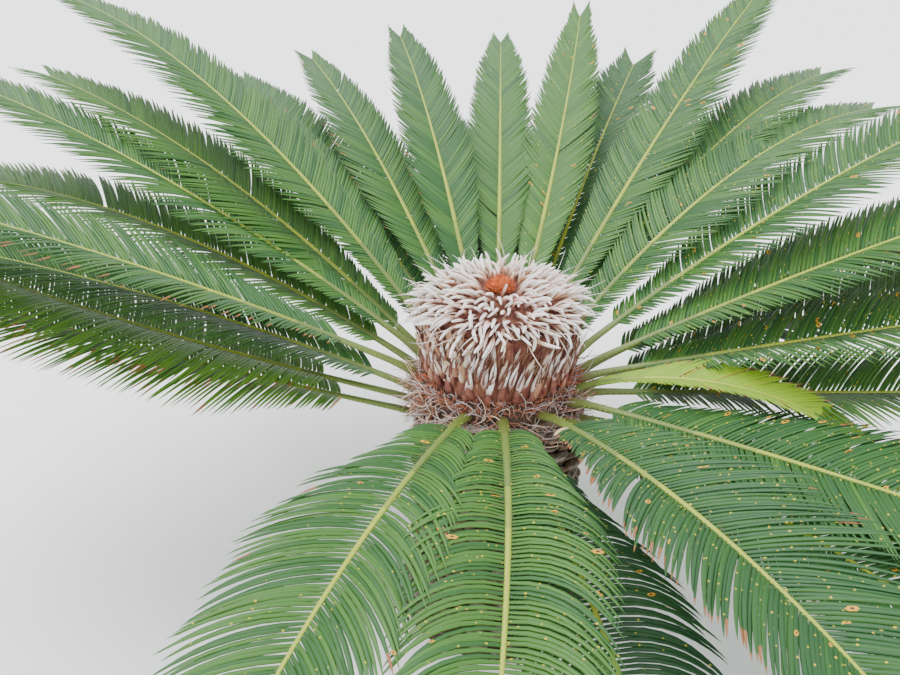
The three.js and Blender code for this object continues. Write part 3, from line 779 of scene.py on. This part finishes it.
def leaflet_tree(name, sizes, section, finishes, on_stalk=False):
    """Leaflets on both sides of every rib, by the same rule as the fronds' solids, or spines on its bare stalk"""
    tree = Growth(name, sizes)
    share, bare, spread = (tree.read(key) for key in ("share", "bare", "spread"))
    low, high = (tree["First share"], bare) if on_stalk else (bare, tree["Last share"])
    points = tree.step("CurveToPoints", tree.step("MeshToCurve", tree["Geometry"]), tree["Spacing"], mode="LENGTH")
    points = tree.step("DeleteGeometry", points, share < low)
    points = tree.step("DeleteGeometry", points, share > high)
    points = tree.join(tree.store(points, "side", 1.0), tree.store(points, "side", -1.0))
    points = tree.step("DeleteGeometry", points, tree.random(0, 1) < tree["Lost"])

    side = tree.read("side")
    along, across, up = (tree.arrow(key) for key in ("along", "across", "up"))
    grown = tree.map_range(share, bare, 1.0, 0.0, 1.0)
    stagger = side * (tree["Spacing"] * STAGGER) + tree["Spacing"] * tree.random(-STAGGER_CHANCE, STAGGER_CHANCE)
    edge = side * tree.read("half_width") * FOOT_ON_RIB
    points = tree.step("SetPosition", points, None, None, along * stagger + across * edge)

    tuft_place = tree.vector(share * TUFTS_PER_RIB, tree.read("number"), side)
    tuft = tree.add("ShaderNodeTexNoise", tuft_place, 1.0, 2.0) - 0.5

    def foot_and_tip(key, middle, change):
        """The angle at a leaflet's foot and at its tip, changed by tufts and by chance, in radians"""
        angles = []
        for degrees, tufted, chance in zip((middle + change, middle - change), TUFTED[key], CHANCE[key]):
            tufted = tuft * tree.read("tufts") * tufted
            angles.append(tree.work("RADIANS", degrees + tufted + tree.random(-chance, chance)))
        return angles

    forward = grown**2.0 * math.radians(TIP_SWEEP)
    favoured = tree.read("lopsided") * side
    fold, sweep, droop = (favoured * LOPSIDED[key] + tree.read(key) for key in ("fold", "sweep", "droop"))
    folds = foot_and_tip("fold", fold, droop)
    sweeps = foot_and_tip("sweep", sweep, tree.read("curl"))
    for key, fold, sweep in zip(("start", "end"), folds, sweeps):
        ahead = tree.work("COSINE", sweep - forward)
        aside = tree.work("SINE", sweep - forward)
        out = aside * tree.work("COSINE", fold) * side
        heading = along * ahead + across * out + up * (aside * tree.work("SINE", fold))
        points = tree.store(points, key, heading)

    lie = tree.blend(LIE_FROM, *folds) + tree.random(-LIE_CHANCE, LIE_CHANCE)
    level = up * tree.work("COSINE", lie) + across * (tree.work("SINE", lie) * side * -1.0)
    roll = tree.work("RADIANS", tree.random(*ROLL))
    middle = tree.blend(0.5, *sweeps)
    backwards = along * (tree.work("SINE", middle) * -1.0) + across * (tree.work("COSINE", middle) * side)
    facing = level * tree.work("COSINE", roll) + backwards * tree.work("SINE", roll)
    points = tree.store(points, "facing", facing)

    short_foot = tree.ease(grown, 0.0, tree.blend(spread, *GROWN_FROM), tree.blend(spread, *SHORT_BASE), 1.0)
    short_tip = tree.ease(grown, SHRINKS_FROM, 1.0, 0.0, 1.0) * tree.blend(spread, *SHORT_TIP)
    size = (short_foot - short_tip) * tree.read("longest")
    size = size * (tree["Length factor"] * tree.random(*LENGTH_CHANCE))
    is_right = side > 0.0
    points = tree.store(points, "length", size * tree.switch(is_right, 1.0, tree.read("right")))
    width = tree["Width"] * tree.ease(tree.read("longest"), *SHORT_WIDTHS)
    points = tree.store(points, "width", width * tree.ease(grown, *END_WIDTHS))

    # Each leaflet has one colour of the ramp, and the worn ones a dry tip or no green left.
    steps = len(finishes) - 2
    shade = tree.read("frond_tone") + tuft * TUFT_TONES + tree.random(-TONE_CHANCE, TONE_CHANCE)
    shade = tree.work("MINIMUM", tree.work("MAXIMUM", shade * float(steps), 0.0), steps - 0.5)
    worn = tree.switch(is_right, tree.read("worn_left"), tree.read("worn_right"))
    is_dead = tree.random(0.0, 1.0) < worn * DEAD_SHARE
    points = tree.store(points, "tone", tree.switch(is_dead, tree.work("FLOOR", shade), steps + 1.0))
    is_worn = tree.random(0.0, 1.0) < worn
    points = tree.store(points, "dry_from", tree.switch(is_worn, NOT_DRY, tree.random(*DRY_FROM)))

    leaflets = tree.strands(points, section, LEAFLET_WIDTHS)
    tone = tree.read("tone")
    # Margin faces are lifted by these tones: partly the leaflet's own paler edge, partly painted highlight.
    edge_and_highlight = (tree.read("margin") > MARGIN_FROM) * tree["Margin tones"]
    leaflets = tree.dress(leaflets, finishes, edge_and_highlight * (tone < steps) + tone)
    is_dry = tree.read("reach") > tree.read("dry_from")
    tree.finish(tree.step("SetMaterial", leaflets, is_dry, finishes[-2]))
    return tree


class SAGO_OT_leaflets(bpy.types.Operator):
    """Cover the ribs of every frond with leaflets"""

    bl_idname = "sago.leaflets"
    bl_label = "Leaflets"

    def execute(self, context):
        own = context.scene.sago_leaflets
        greens = colour_ramp([own.deep, own.full, own.fresh, own.yellow], 10)
        shine = {"Specular IOR Level": 0.28}
        finishes = [
            make_finish(f"leaflet_{number}", [green], (0.36, 0.52), grain=90.0, relief=0.0003, even=shine)
            for number, green in enumerate(greens)
        ]
        finishes.append(make_finish("leaflet_dry", [own.dry], (0.6, 0.8)))
        finishes.append(make_finish("leaflet_dead", [own.dead], (0.7, 0.9)))
        sizes = {
            "Spacing": own.spacing,
            "Width": own.width,
            "Segments": own.segments,
            "Last share": 0.995,
            "Length factor": 1.0,
            "Lost": 0.002,
            "Margin tones": 1.0,
        }
        section = leaflet_section(own.width, own.thickness)
        tree = leaflet_tree("Frond leaflets", sizes, section, finishes)
        full_grown = [frond for frond in FRONDS if not frond["leaflet"]]
        start = SECTORS[0][1]
        groups = [
            (name, [frond for frond in full_grown if low <= (frond["turn"] - start) % 360 + start < high])
            for name, low, high in SECTORS
        ]
        groups.append(("young", [frond for frond in FRONDS if frond["leaflet"]]))
        for name, members in groups:
            changes = {"Spacing": own.spacing * 0.6, "Width": own.width * 1.1} if name == "young" else {}
            piece = grow(rib_guides(f"leaflets_{name}", members), tree, changes)
            seat(piece, [f"frond_{FRONDS.index(frond) + 1:02d}" for frond in members])
        bpy.data.objects.remove(section)
        return {"FINISHED"}


class SAGO_OT_spots(bpy.types.Operator):
    """Put yellow speckles and rusty blotches on the sick leaflets"""

    bl_idname = "sago.spots"
    bl_label = "Leaflet spots"

    def execute(self, context):
        own = context.scene.sago_leaflets
        sizes = {
            "Speckles": own.speckle_density,
            "Speckle size": 0.0030,
            "Blotches": own.blotch_density,
            "Blotch size": 0.0070,
            "Scar size": 0.0033,
            "Thickness": 0.0025,
        }
        disc = lathed("spot_disc", ((0.5, -0.10), (0.4, 0.12)), 6)
        tree = Growth("Leaflet spots", sizes)
        leaflets = tree.join(*(tree.show(bpy.data.objects[f"leaflets_{name}"]) for name in SPOTTED))
        on_top = tree.work("DOT_PRODUCT", tree.step("InputNormal"), UP) > SPOT_FACING
        chosen = on_top * (tree.read("reach") < SPOTS_END)
        discs = []
        for seed, density, layers in (
            (1, "Speckles", (("Speckle", 1.3, 1.0, own.speckle),)),
            (2, "Blotches", (("Blotch", 2.2, 1.0, own.blotch), ("Scar", 1.8, 1.6, own.scar))),
        ):
            dense = tree.read("spots") * tree[density]
            points = tree.step("DistributePointsOnFaces", leaflets, chosen, dense, seed)
            rotation = tree.add(
                "FunctionNodeAxesToRotation", points.beside("Normal"), tree.arrow("start"),
                primary_axis="Z", secondary_axis="X",
            )
            chance = tree.random(*SPOT_SIZES)
            for label, longer, thicker, tint in layers:
                size = tree[f"{label} size"] * chance
                scale = tree.vector(size * longer, size, tree["Thickness"] * thicker)
                layer = tree.step("InstanceOnPoints", points, None, tree.show(disc), False, None, rotation, scale)
                finish = make_finish(f"{label.lower()}_spot", [tint], (0.6, 0.8))
                discs.append(tree.step("SetMaterial", tree.step("RealizeInstances", layer), None, finish))
        tree.finish(tree.join(*discs))
        seat(grow(new_piece("leaflet_spots"), tree))
        bpy.data.objects.remove(disc)
        return {"FINISHED"}


class SAGO_OT_stalks(bpy.types.Operator):
    """Make the stalk and rib of every frond, with the spines on the stalks"""

    bl_idname = "sago.stalks"
    bl_label = "Stalks and ribs"

    def execute(self, context):
        own = context.scene.sago_stalks
        sizes = {"Sides": 10, "Flatness": 0.72, "Foot swell": 0.22, "Foot drop": own.foot_drop}
        tree = Growth("Frond stalks", sizes)
        share = tree.read("share")
        at_foot = tree.ease(share, 0.0, FOOT_SHARE, 1.0, 0.0)
        to_end = tree.map_range(tree.read("walked"), 0.0, FOOT_LENGTH, 1.0, 0.0)
        rounded = tree.work("SQRT", FOOT_ROUNDING - to_end**2.0)
        drop = at_foot * tree["Foot drop"] * (0.0, 0.0, -1.0)
        ribs = tree.step("SetPosition", tree.step("MeshToCurve", tree["Geometry"]), None, None, drop)
        ribs = tree.step("SetCurveNormal", ribs, None, tree.arrow("up"), mode="FREE")
        section = tree.step("CurvePrimitiveCircle", tree["Sides"], None, mode="RADIUS")
        flat = tree.step("InputPosition") * tree.vector(tree["Flatness"], 1.0)
        section = tree.step("SetPosition", section, None, flat, RIB_SINK)
        width = tree.read("half_width") * (at_foot * tree["Foot swell"] + 1.0) * rounded
        stalks = tree.step("RealizeInstances", tree.step("CurveToMesh", ribs, section, width, True))
        shades = [own.foot, between(own.foot, own.stalk, 0.7), own.stalk, own.stalk, own.rib]
        for number, (border, tint) in enumerate(zip(STALK_BORDERS, colour_ramp(shades, len(STALK_BORDERS)))):
            finish = make_finish(f"stalk_{number}", [tint], (0.42, 0.60), grain=70.0)
            stalks = tree.step("SetMaterial", stalks, tree.compare("GREATER_EQUAL", share, border), finish)
        tree.finish(tree.step("SetShadeSmooth", stalks))
        seat(grow(rib_guides("stalks", FRONDS), tree))

        spine = make_finish("spine", [between(own.stalk, own.rib, 0.9)], (0.5, 0.7))
        sizes = {
            "Spacing": own.spine_spacing,
            "Width": own.spine_width,
            "Segments": 2,
            "First share": 0.03,
            "Length factor": 0.11,
            "Lost": 0.1,
            "Margin tones": 0.0,
        }
        section = round_section("spine_section", 4)
        tree = leaflet_tree("Stalk spines", sizes, section, [spine] * 3, on_stalk=True)
        seat(grow(rib_guides("spines", FRONDS), tree))
        bpy.data.objects.remove(section)
        return {"FINISHED"}


def base_tree(sizes, shapes, finishes):
    """Old leaf bases round the trunk in a close spiral, as a palm sets its leaves"""
    tree = Growth("Trunk leaf bases", sizes)

    def by_chance(key):
        return tree.random(-BASE_CHANCE[key], BASE_CHANCE[key])

    index = tree.step("InputIndex")
    rise = index / tree["Count"]
    height = tree.span(rise, "height")
    flare = tree.work("MAXIMUM", 1.0 - height / tree["Flare height"], 0.0)
    radius = tree.span(rise, "radius") + flare**2.0 * tree["Flare"] + tree["Size"] * by_chance("radius")
    outward = tree.circle(index * GOLDEN_TURN + by_chance("turn"))
    points = tree.step("Points", tree["Count"], outward * radius + height * UP)
    sideways = tree.work("CROSS_PRODUCT", UP, outward)
    lean = tree["Lean"] + by_chance("lean")
    standing = outward * lean + UP + sideways * by_chance("aside")
    rotation = tree.add("FunctionNodeAxesToRotation", standing, outward, primary_axis="Z", secondary_axis="X")
    shown = tree.join(*(tree.show(shape, as_instance=True) for shape in shapes))
    points = tree.store(points, "tone", tree.work("FLOOR", tree.random(0.0, len(finishes) - 0.01)))
    which = tree.add("FunctionNodeRandomValue", 0, len(shapes) - 1, None, BASE_SEED, data_type="INT")
    size = tree["Size"] * tree.random(*BASE_SIZES)
    bases = tree.step("InstanceOnPoints", points, None, shown, True, which, rotation, size)
    bases = tree.dress(tree.step("RealizeInstances", bases), finishes, tree.read("tone"))
    tree.finish(tree.step("SetShadeSmooth", bases))
    return tree


class SAGO_OT_trunk(bpy.types.Operator):
    """Make the trunk with its bark and old leaf bases"""

    bl_idname = "sago.trunk"
    bl_label = "Trunk"

    def execute(self, context):
        own = context.scene.sago_trunk
        rows = 90
        heights = [COLLAR_HEIGHT * row / rows for row in range(rows + 1)]
        profile = [(own.radius + own.flare * max(0.0, 1 - height / own.flare_height)**2, height) for height in heights]
        tints = [between(own.bark, BLACK, 0.5), between(own.bark, own.base, 0.2)]
        bark = make_finish("bark", tints, (0.85, 1.0), grain=60.0, relief=0.003)
        core = rough_body("trunk_bark", profile, bark, sides=150, grain=34.0, upright=0.4, relief=0.012)
        seat(core, ["trunk"])

        bases = [
            lofted("base_plain", ((-0.25, 0.70, 0.34, -0.20), (0.0, 1.00, 0.46, -0.04), (0.22, 0.92, 0.42, 0.10),
                                  (0.40, 0.62, 0.30, 0.22), (0.47, 0.46, 0.20, 0.27), (0.44, 0.30, 0.10, 0.25))),
            lofted("base_broken", ((-0.22, 0.66, 0.32, -0.20), (0.0, 0.96, 0.44, -0.03), (0.17, 0.86, 0.40, 0.09),
                                   (0.29, 0.66, 0.34, 0.16), (0.30, 0.40, 0.18, 0.17), (0.25, 0.26, 0.10, 0.15))),
        ]
        tints = (own.base, between(own.base, own.worn_base, 0.5), own.worn_base, between(own.bark, own.base, 0.6))
        finishes = [
            make_finish(
                f"leaf_base_{number}", [between(tint, own.bark, 0.45), tint], (0.8, 1.0), grain=160.0, relief=0.002,
                stretch=(1.0, 1.0, 0.35),
            )
            for number, tint in enumerate(tints)
        ]
        sizes = {
            "Count": own.base_count,
            "First height": 0.012,
            "Last height": COLLAR_HEIGHT - BASES_END,
            "First radius": own.radius + 0.003,
            "Last radius": own.radius + 0.001,
            "Flare": own.flare,
            "Flare height": own.flare_height,
            "Lean": 0.35,
            "Size": own.base_size,
        }
        seat(grow(new_piece("leaf_bases"), base_tree(sizes, bases, finishes)))
        for shape in bases:
            bpy.data.objects.remove(shape)
        return {"FINISHED"}


def tuft_tree(name, sizes, section, widths, finishes, on_dome):
    """Fingers, fibres and scales that grow from a band round the trunk's axis, or from the head's dome. First and
    Last are the foot and the top of the band, or the middle and the rim of the dome. Rise is above level."""
    tree = Growth(name, sizes)
    index = tree.step("InputIndex")
    share = (index + 0.5) / tree["Count"]
    turn = tree.work("MODULO", index * GOLDEN_TURN + tree.random(-TUFT_TURN_CHANCE, TUFT_TURN_CHANCE), 2 * math.pi)
    outward = tree.circle(tree.map_range(turn, 0.0, 2 * math.pi, tree["From turn"], tree["To turn"]))
    if on_dome:
        radius = tree.work("SQRT", tree.blend(share, tree["First radius"] ** 2.0, tree["Last radius"] ** 2.0))
        height = tree.work("SQRT", tree.work("MAXIMUM", 1.0 - (radius / DOME_RADIUS) ** 2.0, 0.0))
        height = height * DOME_RISE + HEAD_HEIGHT + tree["First height"]
    else:
        height = tree.span(share, "height")
        radius = tree.span(share, "radius") + tree.work("SINE", share * math.pi) * tree["Bulge"]
    points = tree.step("Points", tree["Count"], outward * radius + height * UP)
    sideways = tree.work("CROSS_PRODUCT", UP, outward)
    loose = tree["Loose"]
    for key, angle, drift, chance in (
        ("start", "rise", "Start sideways", 0.5),
        ("end", "end rise", "End sideways", 1.0),
    ):
        off = tree.random(-chance, chance) * loose
        rise = tree.work("RADIANS", tree.span(share, angle)) + off
        aside = tree.random(-chance, chance) * loose + tree[drift]
        ray = outward * tree.work("COSINE", rise) + tree.work("SINE", rise) * UP + sideways * aside
        points = tree.store(points, key, tree.work("NORMALIZE", ray))
    points = tree.store(points, "facing", outward + TUFT_FACING + sideways * (loose * 0.4))
    points = tree.store(points, "length", tree.span(share, "length") * tree.random(*TUFT_SIZES))
    points = tree.store(points, "width", tree["Width"] * tree.random(*TUFT_SIZES))
    tone = tree.work("MINIMUM", tree.random(0.0, 1.0) * tree.span(share, "tones"), len(finishes) - 0.5)
    points = tree.store(points, "tone", tree.work("FLOOR", tone))
    tufts = tree.dress(tree.strands(points, section, widths), finishes, tree.read("tone"))
    tree.finish(tree.step("SetShadeSmooth", tufts))
    return tree


def grow_tufts(name, slot, nodes, widths, finishes, sides, flatness=1.0, on_dome=False, **sizes):
    """Grows a piece of tufts, each with so many sides. The sizes are named as the tree's inputs are, in small
    letters, and a pair of them holds First and Last."""
    own = {
        "Count": 100, "Segments": 7, "From turn": 0.0, "To turn": 2 * math.pi, "First height": 0.0, "Last height": 0.0,
        "Bulge": 0.0, "Start sideways": 0.0, "End sideways": 0.0, "Loose": 0.4, "First tones": 3.0, "Last tones": 3.0,
    }
    for key, size in sizes.items():
        label = key.replace("_", " ")
        if isinstance(size, tuple):
            own |= {f"First {label}": size[0], f"Last {label}": size[1]}
        else:
            own[label.capitalize()] = size
    section = round_section(f"{name}_section", sides, flatness)
    seat(grow(new_piece(name), tuft_tree(name, own, section, widths, finishes, on_dome)), nodes)
    bpy.data.objects.remove(section)


class SAGO_OT_head(bpy.types.Operator):
    """Make the head's drum with its scales"""

    bl_idname = "sago.head"
    bl_label = "Head"

    def execute(self, context):
        own = context.scene.sago_head
        rows = 24
        profile = [
            (DRUM_RADIUS + DRUM_BULGE * math.sin(math.pi * share), part_way((COLLAR_HEIGHT, HEAD_HEIGHT), share))
            for share in (row / rows for row in range(rows + 1))
        ]
        skin = make_finish(
            "head_skin", [own.maroon, own.scale], (0.8, 1.0), grain=70.0, relief=0.002, stretch=(1.0, 1.0, 0.3)
        )
        drum = rough_body("head_drum", profile, skin, sides=120, grain=60.0, upright=0.3, relief=0.008)
        seat(drum, ["head"])

        upright = (1.0, 1.0, 0.15)
        dark = between(own.scale, own.maroon, 0.6)

        def pod_finish(name, body):
            """Maroon at the foot, then woolly, and a dark awl from there on"""
            stops = (
                (0.0, own.maroon), (1.0, dark), (0.13, between(own.maroon, own.scale, 0.7)),
                (0.26, between(own.scale, body, 0.6)), (0.36, body), (0.52, body),
                (0.62, between(body, own.paper, 0.7)), (0.72, dark),
            )
            return make_finish(name, stops, (0.8, 1.0), grain=110.0, relief=0.001, stretch=upright, graded=True)

        white = pod_finish("pod_white", between(own.wool, WHITE, 0.15))
        pink = pod_finish("pod_pink", between(own.wool, own.scale, 0.25))
        brown = pod_finish("pod_brown", between(own.wool, own.paper, 0.7))
        awl = make_finish("awl", [between(dark, BLACK, 0.5), dark], (0.5, 0.8))
        tints = [own.maroon, between(own.maroon, own.scale, 0.6)]
        maroon = make_finish("scale_foot", tints, (0.5, 0.8), grain=90.0, relief=0.001)
        red = make_finish(
            "scale_red", [own.scale, between(own.scale, own.paper, 0.5)], (0.6, 0.9), relief=0.001, stretch=upright
        )
        paper = make_finish(
            "scale_paper", [own.paper, between(own.paper, own.wool, 0.5)], (0.8, 1.0), grain=60.0, relief=0.001,
            stretch=upright,
        )
        grow_tufts(
            "head_scales", "scale", ["head"], AWL_WIDTHS, [red, awl, paper], sides=5, flatness=0.32,
            count=own.scale_count, height=(0.556, 0.660), radius=(0.123, 0.126), bulge=0.006, rise=(82.0, 76.0),
            end_rise=(86.0, 60.0), start_sideways=0.06, end_sideways=0.34, loose=0.55, width=0.0052,
            length=(own.scale_length, own.scale_length * 0.75),
        )
        grow_tufts(
            "head_pods", "scale", ["head"], POD_WIDTHS, [white, pink, white, brown], sides=7, flatness=0.60,
            segments=12, count=own.pod_count, height=(0.558, 0.612), radius=(0.126, 0.129), bulge=0.004,
            rise=(80.0, 80.0), end_rise=(90.0, 72.0), start_sideways=0.04, end_sideways=0.42, loose=0.36, width=0.0112,
            tones=(4.0, 4.0), length=(own.pod_length * 1.15, own.pod_length),
        )
        grow_tufts(
            "head_awls", "scale", ["head"], AWL_WIDTHS, [awl, maroon, awl], sides=4, flatness=0.6,
            count=own.awl_count, height=(0.590, 0.648), radius=(0.141, 0.139), rise=(88.0, 80.0), end_rise=(96.0, 64.0),
            start_sideways=0.1, end_sideways=0.6, loose=0.7, width=0.0036, length=(0.052, 0.046),
        )
        grow_tufts(
            "head_feet", "scale", ["head"], FOOT_WIDTHS, [maroon, maroon, red], sides=8, flatness=0.68,
            count=38, height=(0.549, 0.562), radius=(0.127, 0.128), rise=(62.0, 72.0), end_rise=(96.0, 92.0),
            loose=0.45, width=0.015, length=(0.026, 0.034),
        )
        grow_tufts(
            "head_paper", "scale", ["head"], FOOT_WIDTHS, [paper, red, paper], sides=6, flatness=0.10,
            count=60, from_turn=math.radians(180), to_turn=math.radians(250), height=(0.585, 0.660),
            radius=(0.132, 0.131), bulge=0.003, rise=(82.0, 70.0), end_rise=(98.0, 60.0), loose=0.8, width=0.016,
            length=(0.040, 0.034),
        )
        return {"FINISHED"}


class SAGO_OT_wool(bpy.types.Operator):
    """Make the dome of woolly fingers on the head"""

    bl_idname = "sago.wool"
    bl_label = "Wool"

    def execute(self, context):
        own = context.scene.sago_head
        profile = dome(DOME_RADIUS - WOOL_DEPTH, HEAD_HEIGHT, DOME_RISE - WOOL_DEPTH, angles=(6, 86), rows=12)
        profile.insert(0, (DOME_RADIUS - 0.010, HEAD_HEIGHT - 0.012))
        # The skin between the fingers is maroon darkened half way to black: painted shade in the gaps between them.
        tints = [between(own.maroon, BLACK, 0.5), between(own.maroon, own.scale, 0.5)]
        skin = make_finish("wool_under", tints, (0.9, 1.0), grain=90.0, relief=0.002)
        under = rough_body("wool_dome", profile, skin, sides=72, grain=70.0, upright=1.0, relief=0.006)
        seat(under, ["crown_wool"])

        def wool_finish(name, foot, body, tip):
            """Darker towards the foot, painted shade where the fingers crowd together, and pale towards the tip"""
            stops = ((0.0, own.maroon), (1.0, tip), (0.16, own.scale), (0.34, foot), (0.55, body), (0.8, body))
            sheen = {"Sheen Weight": 0.3}
            return make_finish(name, stops, (0.9, 1.0), grain=160.0, relief=0.0012, even=sheen, graded=True)

        pale = wool_finish("wool_pale", between(own.wool, own.paper, 0.7), own.wool, between(own.wool, WHITE, 0.3))
        dim = wool_finish("wool_dim", own.paper, between(own.wool, own.paper, 0.3), own.wool)
        tan = wool_finish("wool_tan", between(own.paper, own.felt, 0.4), between(own.wool, own.felt, 0.3), own.wool)
        grow_tufts(
            "wool_fingers", "wool", ["crown_wool"], FINGER_WIDTHS, [pale, dim, tan], sides=7, on_dome=True, segments=9,
            count=own.finger_count, radius=(0.028, 0.126), height=(-0.010, 0.0), rise=(66.0, 12.0),
            end_rise=(6.0, -36.0), loose=0.85, length=(own.finger_length * 0.72, own.finger_length * 0.66),
            width=own.finger_width, tones=(3.6, 1.8),
        )
        grow_tufts(
            "wool_wisps", "wool", ["crown_wool"], AWL_WIDTHS, [pale, dim, dim], sides=5, on_dome=True, segments=9,
            count=own.wisp_count, radius=(0.085, 0.127), height=(-0.010, 0.0), rise=(30.0, 8.0),
            end_rise=(14.0, -14.0), loose=0.9, length=(own.finger_length * 0.90, own.finger_length * 1.10),
            width=own.finger_width * 0.45,
        )
        return {"FINISHED"}


class SAGO_OT_heart(bpy.types.Operator):
    """Make the felted heart in the middle of the wool"""

    bl_idname = "sago.heart"
    bl_label = "Heart"

    def execute(self, context):
        own = context.scene.sago_head
        radius = HEART_RADIUS - HEART_DEPTH
        profile = dome(radius, HEART_FOOT, HEART_RISE, angles=(4, 88), rows=8)
        tints = [own.felt, between(own.felt, own.maroon, 0.6)]
        skin = make_finish("heart_skin", tints, (0.9, 1.0), grain=150.0, relief=0.002)
        core = rough_body("heart_core", profile, skin, sides=32, grain=90.0, upright=1.0, relief=0.006)
        seat(core, ["heart"])
        finishes = [
            make_finish(f"felt_{name}", [between(own.felt, other, share)], (0.9, 1.0)) for name, other, share in (
                ("bright", own.paper, 0.35), ("plain", own.felt, 0.0), ("deep", own.maroon, 0.5),
            )
        ]
        grow_tufts(
            "heart_fibres", "felt", ["heart"], FIBRE_WIDTHS, finishes, sides=3, segments=4, count=own.fibre_count,
            radius=(radius, 0.002), height=(HEART_FOOT - 0.002, HEART_FOOT + 0.014), bulge=0.006, rise=(30.0, 85.0),
            end_rise=(60.0, 60.0), loose=2.6, length=(0.011, 0.012), width=0.0013,
        )
        return {"FINISHED"}


class SAGO_OT_fibres(bpy.types.Operator):
    """Make the fibres that fill the collar between the stalks"""

    bl_idname = "sago.fibres"
    bl_label = "Collar fibres"

    def execute(self, context):
        own = context.scene.sago_head
        rust, brown, straw, grey = (
            make_finish(f"fibre_{name}", [between(low, high, share)], (0.8, 1.0)) for name, low, high, share in (
                ("rust", own.scale, own.felt, 0.5), ("brown", own.scale, own.maroon, 0.3),
                ("straw", own.paper, own.wool, 0.2), ("grey", own.wool, own.maroon, 0.6),
            )
        )
        grow_tufts(
            "collar_rust", "bark", ["trunk"], FIBRE_WIDTHS, [rust, brown, grey], sides=4, flatness=0.6, segments=5,
            count=760, height=(0.540, 0.554), radius=(0.140, 0.127), rise=(30.0, 60.0), end_rise=(10.0, 70.0),
            loose=2.0, length=(0.026, 0.024), width=0.0019,
        )
        grow_tufts(
            "collar_straw", "bark", ["trunk"], FIBRE_WIDTHS, [straw, brown, grey], sides=4, flatness=0.6, segments=8,
            count=900, height=(0.465, 0.545), radius=(0.142, 0.140), rise=(10.0, 30.0), end_rise=(-35.0, -10.0),
            loose=2.2, length=(0.055, 0.072), width=0.0021,
        )
        return {"FINISHED"}


class SAGO_OT_stage(bpy.types.Operator):
    """Make the floor, the lights and the camera"""

    bl_idname = "sago.stage"
    bl_label = "Stage"

    def execute(self, context):
        own = context.scene.sago_stage
        scene = context.scene
        half = FLOOR_HALF
        corners = [(-half, -half, 0), (half, -half, 0), (half, half, 0), (-half, half, 0)]
        floor = new_body("floor", corners, [(0, 1, 2, 3)])
        tints = [own.floor, between(own.floor, WHITE, 0.06)]
        floor.data.materials.append(make_finish("floor", tints, (0.8, 0.9), grain=3.0))

        scene.world = bpy.data.worlds.new("sky")
        scene.world.use_nodes = True
        background = scene.world.node_tree.nodes["Background"]
        background.inputs["Color"].default_value = SKY_TINT
        background.inputs["Strength"].default_value = own.sky
        key = bpy.data.lights.new("key_light", "SUN")
        key.angle = own.key_angle
        key.energy = own.key_strength
        front = bpy.data.lights.new("front_light", "AREA")
        front.size = FRONT_SIZE
        front.energy = own.front_power
        for light, place in ((key, KEY_PLACE), (front, FRONT_PLACE)):
            lamp = bpy.data.objects.new(light.name, light)
            lamp.location = place
            lamp.rotation_euler = (Vector(LIT_POINT) - Vector(place)).to_track_quat("-Z", "Y").to_euler()
            scene.collection.objects.link(lamp)

        camera = bpy.data.objects.new("camera", bpy.data.cameras.new("camera"))
        camera.data.lens = LENS
        camera.data.sensor_width = SENSOR
        camera.location = CAMERA_PLACE
        camera.rotation_euler = (math.radians(90 - CAMERA_PITCH), 0.0, math.radians(-CAMERA_PAN))
        scene.collection.objects.link(camera)
        scene.camera = camera
        return {"FINISHED"}


class SAGO_PT_panel(bpy.types.Panel):
    """Lists the palm's pieces"""

    bl_idname = "SAGO_PT_panel"
    bl_label = "Sago Palm"
    bl_space_type = "VIEW_3D"
    bl_region_type = "UI"
    bl_category = "Sago Palm"

    def draw(self, context):
        for operator in OPERATORS:
            self.layout.operator(operator.bl_idname)
        for key, group in SETTINGS.items():
            settings = getattr(context.scene, key)
            box = self.layout.box()
            for name in group.__annotations__:
                box.prop(settings, name)


SETTINGS = {
    "sago_leaflets": LeafletSettings,
    "sago_stalks": StalkSettings,
    "sago_trunk": TrunkSettings,
    "sago_head": HeadSettings,
    "sago_stage": StageSettings,
}
OPERATORS = (
    SAGO_OT_stage,
    SAGO_OT_trunk,
    SAGO_OT_fibres,
    SAGO_OT_head,
    SAGO_OT_wool,
    SAGO_OT_heart,
    SAGO_OT_stalks,
    SAGO_OT_leaflets,
    SAGO_OT_spots,
)


def register():
    for cls in (*SETTINGS.values(), *OPERATORS, SAGO_PT_panel):
        bpy.utils.register_class(cls)
    for key, group in SETTINGS.items():
        setattr(bpy.types.Scene, key, bpy.props.PointerProperty(type=group))


def unregister():
    for key in SETTINGS:
        delattr(bpy.types.Scene, key)
    for cls in reversed((*SETTINGS.values(), *OPERATORS, SAGO_PT_panel)):
        bpy.utils.unregister_class(cls)


def main():
    register()
    for operator in OPERATORS:
        group, name = operator.bl_idname.split(".")
        getattr(getattr(bpy.ops, group), name)()


if __name__ == "__main__":
    main()
